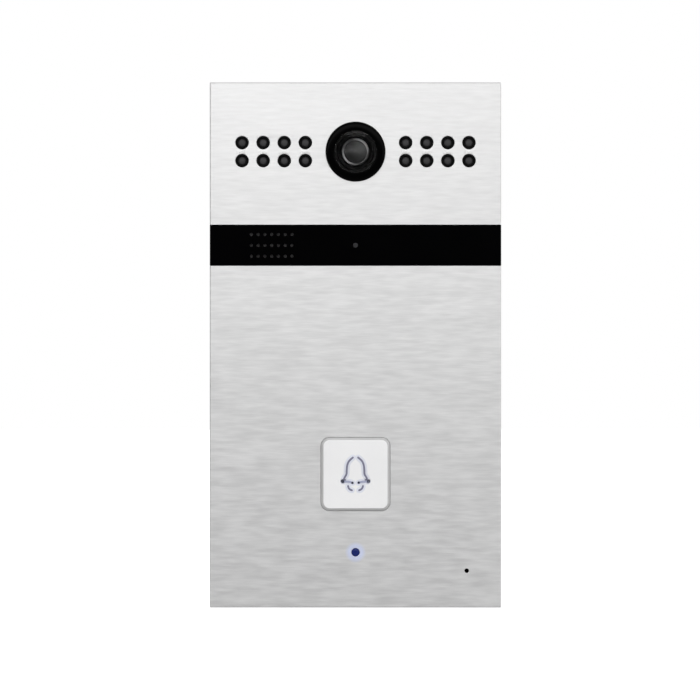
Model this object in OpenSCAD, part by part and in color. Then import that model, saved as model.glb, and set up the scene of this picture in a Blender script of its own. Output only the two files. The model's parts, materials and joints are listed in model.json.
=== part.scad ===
// Door intercom panel: surface-mounted, one call button, camera and card reader.
// X runs to the right seen from the street, Y runs into the wall, Z is up.
// The origin is on the wall plane, behind the centre of the front panel.

/* [Front panel] */
// Width of the brushed front panel
panel_w = 104.3; // [104:0.1:112]
// Height of the brushed front panel
panel_h = 188; // [187:1:200]
// Thickness of the front panel
panel_t = 3.5; // [3.4:0.1:3.8]
// Chamfer on the panel's front edges
panel_chamfer = 0.4; // [0.2:0.1:0.6]
// Distance from the wall to the front of the panel
unit_d = 38; // [38:1:44]

/* [Reader strip] */
// Height of the black strip
strip_h = 14.8; // [14:0.1:16]
// Thickness of the black strip
strip_t = 1.6; // [1.4:0.1:1.8]
// Height of the strip's middle above the panel's centre
strip_z = 35.7; // [35:0.1:36.5]

/* [Camera] */
// Height of the lens axis above the panel's centre
camera_z = 69.2; // [68.5:0.1:70]
// Diameter of the camera bezel's flange
bezel_d = 21.5; // [21.2:0.1:22.5]
// How far the bezel stands out of the panel
bezel_proud = 1.2; // [0.8:0.1:1.6]
// Diameter of the lens's front glass
lens_d = 9.8; // [9:0.1:10.5]

/* [Night lamps] */
// Diameter of each lamp hole in the panel
lamp_hole_d = 4.8; // [4.6:0.1:5.2]
// Diameter of one lamp
lamp_d = 3; // [2.8:0.1:3.2]
// Distance from the panel's centre line to the nearest lamp column
lamp_x = 17.95; // [17.5:0.05:18.5]
// Spacing of the lamp columns
lamp_pitch_x = 7.55; // [7.4:0.05:7.7]
// Spacing of the lamp rows
lamp_pitch_z = 6.45; // [6.2:0.05:6.8]

/* [Speaker] */
// Distance of the speaker from the panel's centre line
speaker_x = -30; // [-30.5:0.5:-29.5]
// Outer diameter of the speaker
speaker_d = 28; // [26:1:28]
// Diameter of one speaker hole in the strip
grille_hole_d = 1.2; // [1:0.1:1.4]
// Spacing of the speaker holes along a row
grille_pitch_x = 2.42; // [2.2:0.02:2.6]
// Spacing of the rows of speaker holes
grille_pitch_z = 3.9; // [3.6:0.1:4.1]

/* [Call button] */
// Width of the button's face
button_w = 24.2; // [23:0.1:24.6]
// Height of the button's face
button_h = 25.7; // [24:0.1:26]
// Corner radius of the button's face
button_r = 2.8; // [2:0.1:3.5]
// Height of the button's middle above the panel's centre
button_z = -46.2; // [-46.6:0.1:-45.8]
// Clearance between the button and the panel
button_gap = 0.4; // [0.3:0.05:0.5]
// How far the button stands out of the panel
button_proud = 1.0; // [0.9:0.1:1.2]
// How far the button can be pressed
button_travel = 0.8; // [0.5:0.05:0.8]

/* [Status light and microphone] */
// Height of the status light above the panel's centre
status_z = -74.2; // [-74.6:0.1:-73.8]
// Diameter of the status light
status_d = 2.8; // [2.4:0.1:3]
// Distance of the microphone from the panel's centre line
mic_x = 39.8; // [39.4:0.1:40]
// Height of the microphone above the panel's centre
mic_z = -80.8; // [-81:0.1:-80.4]
// Diameter of the microphone's hole in the panel
mic_hole_d = 1.6; // [1.2:0.1:2]

/* [Rear housing] */
// How far the housing is set in from the panel's edges
case_inset = 1.5; // [1.2:0.1:1.8]
// Thickness of the housing's walls and floor
case_wall = 2.5; // [2.4:0.1:2.6]
// Depth of the recess that the wall bracket sits in
recess_d = 7.2; // [7:0.1:7.4]
// Thickness of the foam seal against the wall
wall_seal_t = 0.8; // [0.6:0.1:1]

/* [Wall bracket] */
// Thickness of the bracket's steel
bracket_t = 1.5; // [1.4:0.1:1.6]
// Horizontal spacing of the wall screw holes
wall_hole_x = 60; // [58:1:62]
// Vertical spacing of the wall screw holes
wall_hole_z = 132; // [130:1:134]
// Diameter of the wall screw holes
wall_hole_d = 4.5; // [4:0.1:5]

/* [Hidden] */
$fn = 48;

// Depths, from the front to the wall.
front_y = -unit_d;
panel_back_y = front_y + panel_t;
wall_rim_y = -wall_seal_t;
floor_back_y = wall_rim_y - recess_d;
floor_front_y = floor_back_y - case_wall;

// Housing.
case_w = panel_w - 2 * case_inset;
case_h = panel_h - 2 * case_inset;
case_r = 2;
inner_w = case_w - 2 * case_wall;
inner_h = case_h - 2 * case_wall;
case_post_r = 3;
case_post_x = inner_w / 2 - case_post_r + 0.3;
case_post_z = inner_h / 2 - case_post_r + 0.3;
case_post_mid_z = 8;
case_screw_r = 1.45;
case_screw_hole_r = 1.6;
gasket_w = 1.3;
gasket_d = 1.2;

// Connector bay, open to the wall.
bay_w = 79;
bay_top_z = -15;
bay_bottom_z = -56;
bay_wall = 2;
bay_floor_y = -25;

// Main board.
board_t = 1.6;
board_w = 83;
board_top_z = 52;
board_bottom_z = -11;
board_front_y = -25.8;
board_back_y = board_front_y + board_t;
board_screw_x = 38;
board_screw_zs = [6, 48];

// Connectors, side by side along the bay's upper wall.
jack_w = 16;
jack_h = 12.4;
jack_x = -29.1;
connector_face_z = -17;
terminal_pitch = 3.5;
terminal_counts = [8, 6];
terminal_xs = [-3.2, 26.1];
terminal_h = 9.6;

// Reader strip.
strip_back_y = front_y + strip_t;
strip_tape_t = 0.2;
channel_floor_y = strip_back_y + strip_tape_t;
speaker_window = [19, 11];
antenna_window_x = [6, 45];
antenna_window_h = 11;
sensor_hole_d = 4;
sensor_window_d = 1.8;
reader_board_y = panel_back_y + 0.2;
reader_screw_xs = [-3.6, 43.6];
reader_screw_dz = 9;
speaker_post_dz = 17;
thread_d = 2.8;
fine_thread_r = 1.05;
fine_screw_r = 1;

// Camera, from the bezel back to the image sensor.
bezel_front_y = front_y - bezel_proud;
neck_r = 9.4;
neck_hole_r = 9.5;
o_ring_seat_r = 10.45;
glass_r = 7.6;
bore_r = 7;
holder_front_y = -31.5;
holder_base_y = -24.5;
camera_board_y = -17.9;
camera_board_t = 1.2;
filter_travel = 6.4;
filter_y = -21.65;
filter_t = 0.9;
standoff_x = 9.5;
standoff_z = 13.5;

// Night lamps.
lamp_rows_z = [camera_z - lamp_pitch_z / 2, camera_z + lamp_pitch_z / 2];
lamp_columns = 4;
sleeve_bore_r = lamp_d / 2 + 0.05;
sleeve_r = lamp_hole_d / 2 - 0.1;
sleeve_plate_t = 1.2;
lamp_board_y = -31.2;
lamp_board_t = 1.2;
lamp_mid_x = lamp_x + 1.5 * lamp_pitch_x;
lamp_screw_dz = 9.9;

// Call button, from the cap back to the button board.
cap_front_y = front_y - button_proud;
cap_wall = 1.6;
cap_edge = 0.4;
cap_flange = 2;
cap_flange_y = panel_back_y + 0.2;
cap_boss_y = panel_back_y + 0.5;
web_y = -32.4;
web_t = 0.6;
frame_front_y = web_y + web_t;
button_board_top_z = -24;
button_board_bottom_z = -82;
button_board_y = -29.4;
switch_travel = button_travel * 0.3125;
plunger_r = 1.65;
button_screw_x = 20;
button_screw_zs = [button_z + 15, button_z - 15, -78];

// Wall bracket.
bracket_w = 88;
bracket_top_z = 80;
bracket_bottom_z = -85.5;
hook_lip = 2.5;
hook_xs = [-24, 24];
hook_w = 12;
security_x = 20;
security_y = wall_rim_y - recess_d / 2;

// Internal leads.
lead_r = 0.45;
lead_gap = 0.7;

// ---------- shared shapes ----------

// A shape drawn in X and Z, made solid from depth y0 to y1.
module slab(y0, y1) {
    translate([0, y1, 0]) rotate([90, 0, 0]) linear_extrude(height = y1 - y0) children();
}

// A body of revolution about a line along Y. The profile is a list of [radius, y].
module turned(x, z, profile) {
    translate([x, 0, z]) rotate([90, 0, 0]) rotate_extrude()
        polygon([for (p = profile) [p[0], -p[1]]]);
}

module rod(x, z, y0, y1, r) {
    slab(y0, y1) translate([x, z]) circle(r = r);
}

module block(x0, x1, y0, y1, z0, z1) {
    translate([x0, y0, z0]) cube([x1 - x0, y1 - y0, z1 - z0]);
}

// A rectangle with round corners, centred on the origin.
module round_rect(w, h, r) {
    square([w - 2 * r, h], center = true);
    square([w, h - 2 * r], center = true);
    for (sx = [-1, 1], sz = [-1, 1])
        translate([sx * (w / 2 - r), sz * (h / 2 - r)]) circle(r = r);
}

module round_ring(w, h, r, t) {
    difference() {
        round_rect(w, h, r);
        round_rect(w - 2 * t, h - 2 * t, max(r - t, 0.2));
    }
}

// A pan-head screw along Y. dir 1 points its tip towards the wall, -1 towards the front.
module screw(x, z, head_y, length, r, head_r, head_h, dir) {
    shank = dir > 0 ? [head_y, head_y + length] : [head_y - length, head_y];
    head = dir > 0 ? [head_y - head_h, head_y] : [head_y, head_y + head_h];
    recess = dir > 0 ? [head[0], head[0] + head_h * 0.6] : [head[1] - head_h * 0.6, head[1]];
    difference() {
        union() {
            rod(x, z, shank[0], shank[1], r);
            rod(x, z, head[0], head[1], head_r);
        }
        slab(recess[0], recess[1]) translate([x, z]) circle(r = head_r * 0.5, $fn = 6);
    }
}

// Point at t on a cubic curve through four control points.
function cubic(p, t) =
    pow(1 - t, 3) * p[0] + 3 * pow(1 - t, 2) * t * p[1]
    + 3 * (1 - t) * t * t * p[2] + pow(t, 3) * p[3];

// A pen stroke of width w along a cubic curve in the plane.
function side_of(a, b, w) = let (d = b - a) [-d[1], d[0]] / norm(d) * w / 2;
module stroke(p, w, steps) {
    pts = [for (i = [0 : steps]) cubic(p, i / steps)];
    ends = [for (i = [0 : steps]) side_of(pts[max(i - 1, 0)], pts[min(i + 1, steps)], w)];
    polygon(concat(
        [for (i = [0 : steps]) pts[i] + ends[i]],
        [for (i = [steps : -1 : 0]) pts[i] - ends[i]]
    ));
}

// A round wire along a cubic curve in space.
function unit(v) = v / norm(v);
module wire(p, r = lead_r, rings = 16, sides = 8) {
    pts = [for (i = [0 : rings]) cubic(p, i / rings)];
    points = [
        for (i = [0 : rings])
            let (
                along = unit(pts[min(i + 1, rings)] - pts[max(i - 1, 0)]),
                across = unit(cross(along, [0.3, 1, 0.2])),
                up = cross(across, along)
            )
            for (k = [0 : sides - 1])
                pts[i] + r * (cos(360 * k / sides) * across + sin(360 * k / sides) * up)
    ];
    walls = [
        for (i = [0 : rings - 1], k = [0 : sides - 1])
            let (a = i * sides + k, b = i * sides + (k + 1) % sides)
            [a, b, b + sides, a + sides]
    ];
    start = [for (k = [sides - 1 : -1 : 0]) k];
    finish = [for (k = [0 : sides - 1]) rings * sides + k];
    polyhedron(points = points, faces = concat(walls, [start, finish]), convexity = 4);
}

// ---------- front panel and reader strip ----------

module speaker_holes_2d() {
    for (i = [-3 : 3], k = [-1 : 1])
        translate([speaker_x + i * grille_pitch_x, strip_z + k * grille_pitch_z])
            circle(d = grille_hole_d);
}

module lamp_points(side) {
    for (i = [0 : lamp_columns - 1], z = lamp_rows_z)
        translate([side * (lamp_x + i * lamp_pitch_x), z]) children();
}

// Where the small screws enter threads in the back of the panel.
module fine_screw_points() {
    for (s = [-1, 1]) {
        lamp_screw_points(s) children();
        translate([speaker_x, strip_z + s * speaker_post_dz]) children();
        for (x = reader_screw_xs) translate([x, strip_z + s * reader_screw_dz]) children();
    }
}

module panel_edge_cut(length, half) {
    translate([0, front_y, half]) rotate([45, 0, 0])
        cube([length, panel_chamfer * sqrt(2), panel_chamfer * sqrt(2)], center = true);
}

module front_panel() color([0.82, 0.82, 0.82]) difference() {
    slab(front_y, panel_back_y) square([panel_w, panel_h], center = true);
    for (s = [-1, 1]) {
        panel_edge_cut(panel_w + 2, s * panel_h / 2);
        rotate([0, 90, 0]) panel_edge_cut(panel_h + 2, s * panel_w / 2);
    }
    // channel for the black strip, with windows behind it
    block(-panel_w, panel_w, front_y - 1, channel_floor_y,
        strip_z - strip_h / 2, strip_z + strip_h / 2);
    slab(front_y, panel_back_y + 1) translate([speaker_x, strip_z])
        square(speaker_window, center = true);
    block(antenna_window_x[0], antenna_window_x[1], front_y, panel_back_y + 1,
        strip_z - antenna_window_h / 2, strip_z + antenna_window_h / 2);
    rod(0, strip_z, front_y, panel_back_y + 1, sensor_hole_d / 2);
    // camera, lamps, button, status light and microphone
    rod(0, camera_z, front_y - 1, panel_back_y + 1, neck_hole_r);
    rod(0, camera_z, front_y - 1, front_y + 1, o_ring_seat_r);
    for (s = [-1, 1])
        slab(front_y - 1, panel_back_y + 1) lamp_points(s) circle(d = lamp_hole_d);
    slab(front_y - 1, panel_back_y + 1) translate([0, button_z])
        round_rect(button_w + 2 * button_gap, button_h + 2 * button_gap, button_r + button_gap);
    rod(0, status_z, front_y - 1, panel_back_y + 1, status_d / 2 + 0.1);
    rod(mic_x, mic_z, front_y - 1, panel_back_y + 1, mic_hole_d / 2);
    // blind threads for the case screws and the small screws
    slab(panel_back_y - thread_d, panel_back_y + 1) case_post_points()
        circle(r = case_screw_r + 0.05);
    slab(panel_back_y - thread_d, panel_back_y + 1) fine_screw_points()
        circle(r = fine_thread_r);
}

module reader_strip() color([0.02, 0.02, 0.02]) difference() {
    block(-panel_w / 2, panel_w / 2, front_y, strip_back_y,
        strip_z - strip_h / 2 + 0.05, strip_z + strip_h / 2 - 0.05);
    slab(front_y - 1, strip_back_y + 1) speaker_holes_2d();
    rod(0, strip_z, front_y - 1, strip_back_y + 1, sensor_window_d / 2);
}

module strip_tape() color([0.1, 0.1, 0.1]) difference() {
    block(-panel_w / 2 + 0.5, panel_w / 2 - 0.5, strip_back_y, channel_floor_y,
        strip_z - strip_h / 2 + 0.4, strip_z + strip_h / 2 - 0.4);
    slab(front_y, panel_back_y) translate([speaker_x, strip_z])
        square(speaker_window, center = true);
    block(antenna_window_x[0], antenna_window_x[1], front_y, panel_back_y,
        strip_z - antenna_window_h / 2, strip_z + antenna_window_h / 2);
    rod(0, strip_z, front_y, panel_back_y, sensor_hole_d / 2);
}

module light_sensor_window() color([0.2, 0.2, 0.22])
    rod(0, strip_z, front_y + 0.05, strip_back_y, sensor_window_d / 2 - 0.02);

// ---------- speaker ----------

module speaker_mesh() color([0.2, 0.2, 0.2])
    slab(strip_back_y, strip_back_y + 0.25) translate([speaker_x, strip_z])
        square([speaker_window[0] - 0.4, speaker_window[1] - 0.4], center = true);

speaker_front_y = panel_back_y + 0.8;
speaker_r = speaker_d / 2;
clamp_y = speaker_front_y + 6;
clamp_t = 0.8;

module speaker_gasket() color([0.08, 0.08, 0.08])
    slab(panel_back_y, speaker_front_y) translate([speaker_x, strip_z]) difference() {
        circle(r = speaker_r);
        circle(r = speaker_r - 2);
    }

module speaker_basket() color([0.6, 0.6, 0.62])
    turned(speaker_x, strip_z, [
        [speaker_r, speaker_front_y], [speaker_r, speaker_front_y + 1],
        [9, speaker_front_y + 3.2], [8.2, speaker_front_y + 3.2],
        [8.2, speaker_front_y + 2.6], [speaker_r - 2.2, speaker_front_y + 0.9],
        [speaker_r - 2.2, speaker_front_y]
    ]);

module speaker_cone() color([0.15, 0.15, 0.16])
    turned(speaker_x, strip_z, [
        [0, speaker_front_y + 0.3], [3.8, speaker_front_y + 0.9],
        [5, speaker_front_y + 1.7], [speaker_r - 3.6, speaker_front_y + 0.3],
        [speaker_r - 2.3, speaker_front_y + 0.1], [speaker_r - 2.3, speaker_front_y + 0.35],
        [speaker_r - 3.6, speaker_front_y + 0.6], [5, speaker_front_y + 2],
        [3.8, speaker_front_y + 1.15], [0, speaker_front_y + 0.55]
    ]);

module speaker_magnet() color([0.45, 0.45, 0.47])
    rod(speaker_x, strip_z, speaker_front_y + 3.2, clamp_y, 8.5);

module speaker_clamp() color([0.1, 0.1, 0.1]) {
    slab(clamp_y, clamp_y + clamp_t) translate([speaker_x, strip_z]) difference() {
        round_rect(7, 2 * speaker_post_dz + 6, 2);
        for (s = [-1, 1]) translate([0, s * speaker_post_dz]) circle(r = 1.1);
    }
    for (s = [-1, 1])
        slab(panel_back_y, clamp_y) translate([speaker_x, strip_z + s * speaker_post_dz])
            difference() {
                circle(r = 2.5);
                circle(r = 1.1);
            }
}

// ---------- camera ----------

module camera_bezel() color([0.03, 0.03, 0.03])
    turned(0, camera_z, [
        [bezel_d / 2 - 0.6, bezel_front_y], [bezel_d / 2, bezel_front_y + 0.6],
        [bezel_d / 2, front_y], [neck_r, front_y], [neck_r, -31.4], [bore_r, -31.4],
        [bore_r, bezel_front_y + 1.5], [glass_r + 0.05, bezel_front_y + 1.5],
        [glass_r + 0.05, bezel_front_y + 0.3], [glass_r + 0.6, bezel_front_y]
    ]);

module camera_o_ring() color([0.06, 0.06, 0.06])
    translate([0, front_y + 0.52, camera_z]) rotate([90, 0, 0]) rotate_extrude()
        translate([(neck_r + o_ring_seat_r) / 2, 0]) circle(r = 0.48);

module camera_bezel_nut() color([0.5, 0.5, 0.52])
    slab(panel_back_y, panel_back_y + 2.4) translate([0, camera_z]) difference() {
        circle(r = 12);
        circle(r = neck_r + 0.05);
        for (a = [0 : 90 : 270]) rotate(a) translate([12, 0]) square([2.4, 2.6], center = true);
    }

module camera_glass() color([0.12, 0.13, 0.15])
    rod(0, camera_z, bezel_front_y + 0.35, bezel_front_y + 1.5, glass_r);

module lens_barrel() color([0.04, 0.04, 0.04])
    turned(0, camera_z, [
        [lens_d / 2 + 0.05, -36.6], [6.7, -36.6], [6.7, -33.6], [6, -33.6],
        [6, -23.6], [3.4, -23.6], [3.4, -34.6], [lens_d / 2 + 0.05, -34.6]
    ]);

// Front meniscus and rear element of the lens.
module lens_elements() color([0.25, 0.28, 0.33]) {
    lens_r = lens_d / 2;
    sphere_r = 11;
    edge_a = asin(lens_r / sphere_r);
    mid_y = -37.1 + sphere_r;
    dome = [for (i = [0 : 6]) let (a = edge_a * i / 6) [sphere_r * sin(a), mid_y - sphere_r * cos(a)]];
    turned(0, camera_z, concat(dome, [[lens_r, -34.6], [0, -34.6]]));
    rod(0, camera_z, -27.6, -24.6, 3.35);
}

module lens_holder() color([0.05, 0.05, 0.05]) difference() {
    union() {
        rod(0, camera_z, holder_front_y + 0.2, holder_base_y, 8.4);
        slab(holder_base_y, camera_board_y) translate([0, camera_z])
            square([26, 18], center = true);
    }
    rod(0, camera_z, holder_front_y, holder_base_y + 1, 6.05);
    rod(0, camera_z, holder_base_y, camera_board_y, 4);
    block(-11.2, 11.2, filter_y - 0.25, filter_y + filter_t + 0.25, camera_z - 4.9, camera_z + 4.9);
    block(-5.5, 5.5, -19.6, camera_board_y + 1, camera_z - 5, camera_z + 5);
}

// Carriage with an infrared-blocking pane, which shifts to a clear pane at night.
module ir_cut_filter() color([0.35, 0.6, 0.65]) {
    pane_x = [0, filter_travel];
    slab(filter_y, filter_y + filter_t) difference() {
        translate([-4.5, camera_z - 4.6]) square([filter_travel + 9, 9.2]);
        for (x = pane_x) translate([x, camera_z]) square([5.6, 7], center = true);
    }
    for (x = pane_x)
        slab(filter_y + 0.2, filter_y + 0.7) translate([x, camera_z]) square([5.6, 7], center = true);
}

module image_sensor() color([0.2, 0.22, 0.3])
    slab(camera_board_y - 1, camera_board_y) translate([0, camera_z])
        square([8, 7], center = true);

module camera_board() color([0.05, 0.25, 0.12]) {
    slab(camera_board_y, camera_board_y + camera_board_t) translate([0, camera_z]) difference() {
        round_rect(26, 33, 1.5);
        for (sx = [-1, 1], sz = [-1, 1])
            translate([sx * standoff_x, sz * standoff_z]) circle(r = 1.3);
    }
    // ribbon socket on the back
    block(-7, 7, camera_board_y + camera_board_t, camera_board_y + camera_board_t + 1.6,
        camera_z - 9, camera_z - 5);
}

// Threaded pillars, pressed into the back of the panel, for the camera and button boards.
module standoffs() color([0.75, 0.65, 0.35]) {
    slab(panel_back_y, camera_board_y)
        for (sx = [-1, 1], sz = [-1, 1])
            translate([sx * standoff_x, camera_z + sz * standoff_z]) difference() {
                circle(r = 2.3);
                circle(r = 1.25);
            }
    slab(panel_back_y, button_board_y)
        for (s = [-1, 1], z = button_screw_zs) translate([s * button_screw_x, z]) difference() {
            circle(r = 2.5);
            circle(r = 1.25);
        }
}

module camera_screws() color([0.7, 0.7, 0.72])
    for (sx = [-1, 1], sz = [-1, 1])
        screw(sx * standoff_x, camera_z + sz * standoff_z, camera_board_y + camera_board_t,
            5, 1.2, 2.1, 1.4, -1);

// ---------- night lamps ----------

module lamp_sleeves(side) color([0.03, 0.03, 0.03]) {
    slab(front_y + 0.3, panel_back_y) lamp_points(side) difference() {
        circle(r = sleeve_r);
        circle(r = sleeve_bore_r);
    }
    slab(panel_back_y, panel_back_y + sleeve_plate_t) difference() {
        translate([side * lamp_mid_x, camera_z]) {
            square([29, 13.6], center = true);
            square([6, 24.5], center = true);
        }
        lamp_points(side) circle(r = sleeve_bore_r);
        lamp_screw_points(side) circle(r = 1.1);
    }
    slab(panel_back_y + sleeve_plate_t, lamp_board_y) lamp_screw_points(side) difference() {
        circle(r = 2.2);
        circle(r = 1.1);
    }
}

module lamp_screw_points(side) {
    for (s = [-1, 1]) translate([side * lamp_mid_x, camera_z + s * lamp_screw_dz]) children();
}

module night_lamps(side) color([0.3, 0.3, 0.32]) {
    lamp_r = lamp_d / 2;
    base_y = panel_back_y + sleeve_plate_t;
    dome_y = front_y + 0.6 + lamp_r;
    dome = [for (a = [0 : 15 : 90]) [lamp_r * sin(a), dome_y - lamp_r * cos(a)]];
    for (i = [0 : lamp_columns - 1], z = lamp_rows_z) {
        x = side * (lamp_x + i * lamp_pitch_x);
        turned(x, z, concat(dome, [
            [lamp_r, base_y], [lamp_r + 0.4, base_y], [lamp_r + 0.4, base_y + 0.8], [0, base_y + 0.8]
        ]));
    }
}

module lamp_board(side) color([0.9, 0.9, 0.88])
    slab(lamp_board_y, lamp_board_y + lamp_board_t) difference() {
        translate([side * lamp_mid_x, camera_z]) round_rect(29, 24.5, 1);
        lamp_screw_points(side) circle(r = 1.1);
    }

// ---------- call button ----------

module call_button_cap() color([0.93, 0.93, 0.93]) translate([0, 0, button_z]) {
    difference() {
        union() {
            slab(cap_front_y + cap_edge, cap_flange_y + 1)
                round_rect(button_w, button_h, button_r);
            hull() {
                slab(cap_front_y + cap_edge, cap_front_y + 2 * cap_edge)
                    round_rect(button_w, button_h, button_r);
                slab(cap_front_y, cap_front_y + cap_edge)
                    round_rect(button_w - 2 * cap_edge, button_h - 2 * cap_edge,
                        button_r - cap_edge);
            }
            slab(cap_flange_y, cap_flange_y + 1)
                round_rect(button_w + 2 * cap_flange, button_h + 2 * cap_flange,
                    button_r + cap_flange);
        }
        slab(cap_front_y + cap_wall, cap_flange_y + 2)
            round_rect(button_w - 2 * cap_wall, button_h - 2 * cap_wall, button_r - cap_wall);
    }
    slab(cap_front_y + cap_wall, cap_boss_y) circle(r = 3);
}

// Generic bell, drawn as two mirrored halves with a gap down the middle.
module bell_half_2d() {
    stroke([[-1.2, 5.6], [-3.4, 4.6], [-3.2, 2.6], [-3.3, 0.6]], 0.5, 8);
    stroke([[-3.3, 0.6], [-3.4, -0.7], [-4.2, -1.2], [-4.6, -2.5]], 0.5, 6);
    stroke([[-4.7, -2.6], [-3.4, -2.5], [-2, -2.7], [-1, -3.2]], 0.5, 6);
    stroke([[-2.8, -4.2], [-2.6, -5], [-2, -5.6], [-1.3, -5.8]], 0.5, 6);
}

module bell_icon() color([0.12, 0.2, 0.5]) translate([0, 0, button_z])
    slab(cap_front_y - 0.08, cap_front_y) {
        bell_half_2d();
        mirror([1, 0]) bell_half_2d();
    }

membrane_w = button_w + 2 * cap_flange + 6.4;
membrane_h = button_h + 2 * cap_flange + 6.4;

module button_membrane() color([0.85, 0.85, 0.85]) translate([0, 0, button_z]) {
    slab(panel_back_y, web_y) round_ring(membrane_w, membrane_h, 4, 2.4);
    slab(web_y, web_y + web_t) round_rect(membrane_w, membrane_h, 4);
    slab(cap_boss_y, frame_front_y) circle(r = 3.4);
}

module button_frame() color([0.05, 0.05, 0.05])
    slab(frame_front_y, button_board_y) difference() {
        translate([0, button_z]) round_ring(membrane_w, membrane_h, 4, 4);
        for (s = [-1, 1], k = [0, 1])
            translate([s * button_screw_x, button_screw_zs[k]]) circle(r = 2.7);
    }

module switch_body() color([0.15, 0.15, 0.15]) translate([0, 0, button_z]) difference() {
    slab(button_board_y - 1.9, button_board_y) round_rect(6, 6, 0.4);
    slab(button_board_y - 2, button_board_y - 0.5) circle(r = plunger_r + 0.06);
}

module switch_plunger() color([0.75, 0.1, 0.08])
    rod(0, button_z, frame_front_y, button_board_y - 0.85, plunger_r);

module button_lights() color([0.85, 0.9, 1]) translate([0, 0, button_z])
    slab(button_board_y - 1, button_board_y)
        for (sx = [-1, 1], sz = [-1, 1])
            translate([sx * 7.5, sz * 7.5]) square([2.8, 3.5], center = true);

module button_board() color([0.05, 0.25, 0.12]) {
    slab(button_board_y, button_board_y + board_t) difference() {
        translate([0, (button_board_top_z + button_board_bottom_z) / 2])
            round_rect(46, button_board_top_z - button_board_bottom_z, 1.5);
        for (s = [-1, 1], z = button_screw_zs)
            translate([s * button_screw_x, z]) circle(r = 1.3);
    }
    // ribbon socket above the button
    block(-7, 7, button_board_y - 1.5, button_board_y,
        button_board_top_z - 3.8, button_board_top_z - 0.6);
}

module status_light_pipe() color([0.15, 0.25, 0.6]) {
    turned(0, status_z, [
        [0, front_y - 0.1], [status_d / 2 - 0.3, front_y - 0.1], [status_d / 2, front_y + 0.2],
        [status_d / 2, panel_back_y], [2.2, panel_back_y],
        [2.2, panel_back_y + 1], [1.1, button_board_y - 1.3], [0, button_board_y - 1.3]
    ]);
}

module status_led() color([0.3, 0.45, 0.9])
    slab(button_board_y - 1.1, button_board_y) translate([0, status_z])
        square([3, 2], center = true);

// ---------- microphone ----------

module microphone_boot() color([0.07, 0.07, 0.07]) translate([mic_x, 0, mic_z]) difference() {
    slab(panel_back_y, panel_back_y + 5) circle(r = 4.2);
    slab(panel_back_y + 1, panel_back_y + 6) circle(r = 3.05);
    slab(panel_back_y - 1, panel_back_y + 2) circle(r = mic_hole_d / 2);
}

module microphone() color([0.75, 0.75, 0.77]) translate([mic_x, 0, mic_z])
    slab(panel_back_y + 1.4, panel_back_y + 4.1) circle(r = 3);

// ---------- card reader and light sensor ----------

module reader_board() color([0.05, 0.25, 0.12])
    slab(reader_board_y, reader_board_y + 1) difference() {
        translate([20, strip_z]) round_rect(52, 22, 1);
        for (x = reader_screw_xs, s = [-1, 1])
            translate([x, strip_z + s * reader_screw_dz]) circle(r = 1.1);
    }

// Flat rectangular loops of the card reader's aerial.
module reader_antenna() color([0.8, 0.5, 0.25]) {
    mid_x = (antenna_window_x[0] + antenna_window_x[1]) / 2;
    span = antenna_window_x[1] - antenna_window_x[0] - 1.6;
    slab(reader_board_y - 0.15, reader_board_y) translate([mid_x, strip_z])
        for (i = [0 : 4])
            difference() {
                square([span - 1.6 * i, antenna_window_h - 1.4 - 1.6 * i], center = true);
                square([span - 1 - 1.6 * i, antenna_window_h - 2.4 - 1.6 * i], center = true);
            }
}

module light_sensor() color([0.2, 0.2, 0.2])
    slab(reader_board_y - 0.8, reader_board_y) translate([0, strip_z])
        square([2, 1.4], center = true);

// ---------- main board ----------

module main_board() color([0.04, 0.22, 0.12])
    slab(board_front_y, board_back_y) difference() {
        translate([0, (board_top_z + board_bottom_z) / 2])
            round_rect(board_w, board_top_z - board_bottom_z, 1.5);
        board_post_points() circle(r = 1.4);
    }

module board_chips() color([0.08, 0.08, 0.09]) {
    // processor, memory and flash on the front, network transformer on the back
    block(1, 15, board_front_y - 1.2, board_front_y, 6, 20);
    block(20, 32, board_front_y - 1, board_front_y, 12, 21);
    block(20, 28, board_front_y - 1, board_front_y, 0, 7);
    block(-32, -16, board_back_y, board_back_y + 5.6, 5, 18);
    // cable sockets on the front and on the back
    block(-33, -25, board_front_y - 3.5, board_front_y, 2, 6);
    block(-8, 8, board_front_y - 1.5, board_front_y, -9, -5);
    block(31, 39, board_front_y - 1.5, board_front_y, 24, 28);
    block(18, 26, board_front_y - 3.5, board_front_y, 45, 49);
    block(-8, 8, board_back_y, board_back_y + 1.6, 46, 50);
}

module heat_sink() color([0.3, 0.3, 0.32]) {
    block(-1, 17, board_front_y - 2.6, board_front_y - 1.2, 4, 22);
    for (i = [0 : 5])
        block(-1 + i * 3.36, 0.2 + i * 3.36, board_front_y - 5.8, board_front_y - 2.6, 4, 22);
}

module relays() color([0.1, 0.2, 0.45])
    for (x = [10, 26]) block(x, x + 12, board_back_y, board_back_y + 10.2, 24, 43);

module capacitors() color([0.75, 0.75, 0.78]) {
    for (p = [[-28, 26], [-28, 36], [-14, 30]])
        rod(p[0], p[1], board_back_y, board_back_y + 8.5, 4);
    for (p = [[0, 22], [0, 34]]) rod(p[0], p[1], board_back_y, board_back_y + 6, 2.6);
}

// ---------- connectors in the bay ----------

module network_jack() color([0.7, 0.7, 0.72]) translate([jack_x, board_back_y, connector_face_z]) {
    difference() {
        translate([-jack_w / 2, 0, 0]) cube([jack_w, jack_h, 18]);
        // plug cavity and the slot for the plug's latch
        translate([-5.9, 3.6, -1]) cube([11.8, 6.9, 13]);
        translate([-3, 1.4, -1]) cube([6, 3, 13]);
        translate([-1.7, 0.6, -1]) cube([3.4, 2, 13]);
    }
    for (i = [0 : 7]) translate([-3.82 + i * 1.02, 9.9, 1.5]) cube([0.5, 1, 9]);
}

function terminal_w(i) = terminal_counts[i] * terminal_pitch + 1.5;

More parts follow.
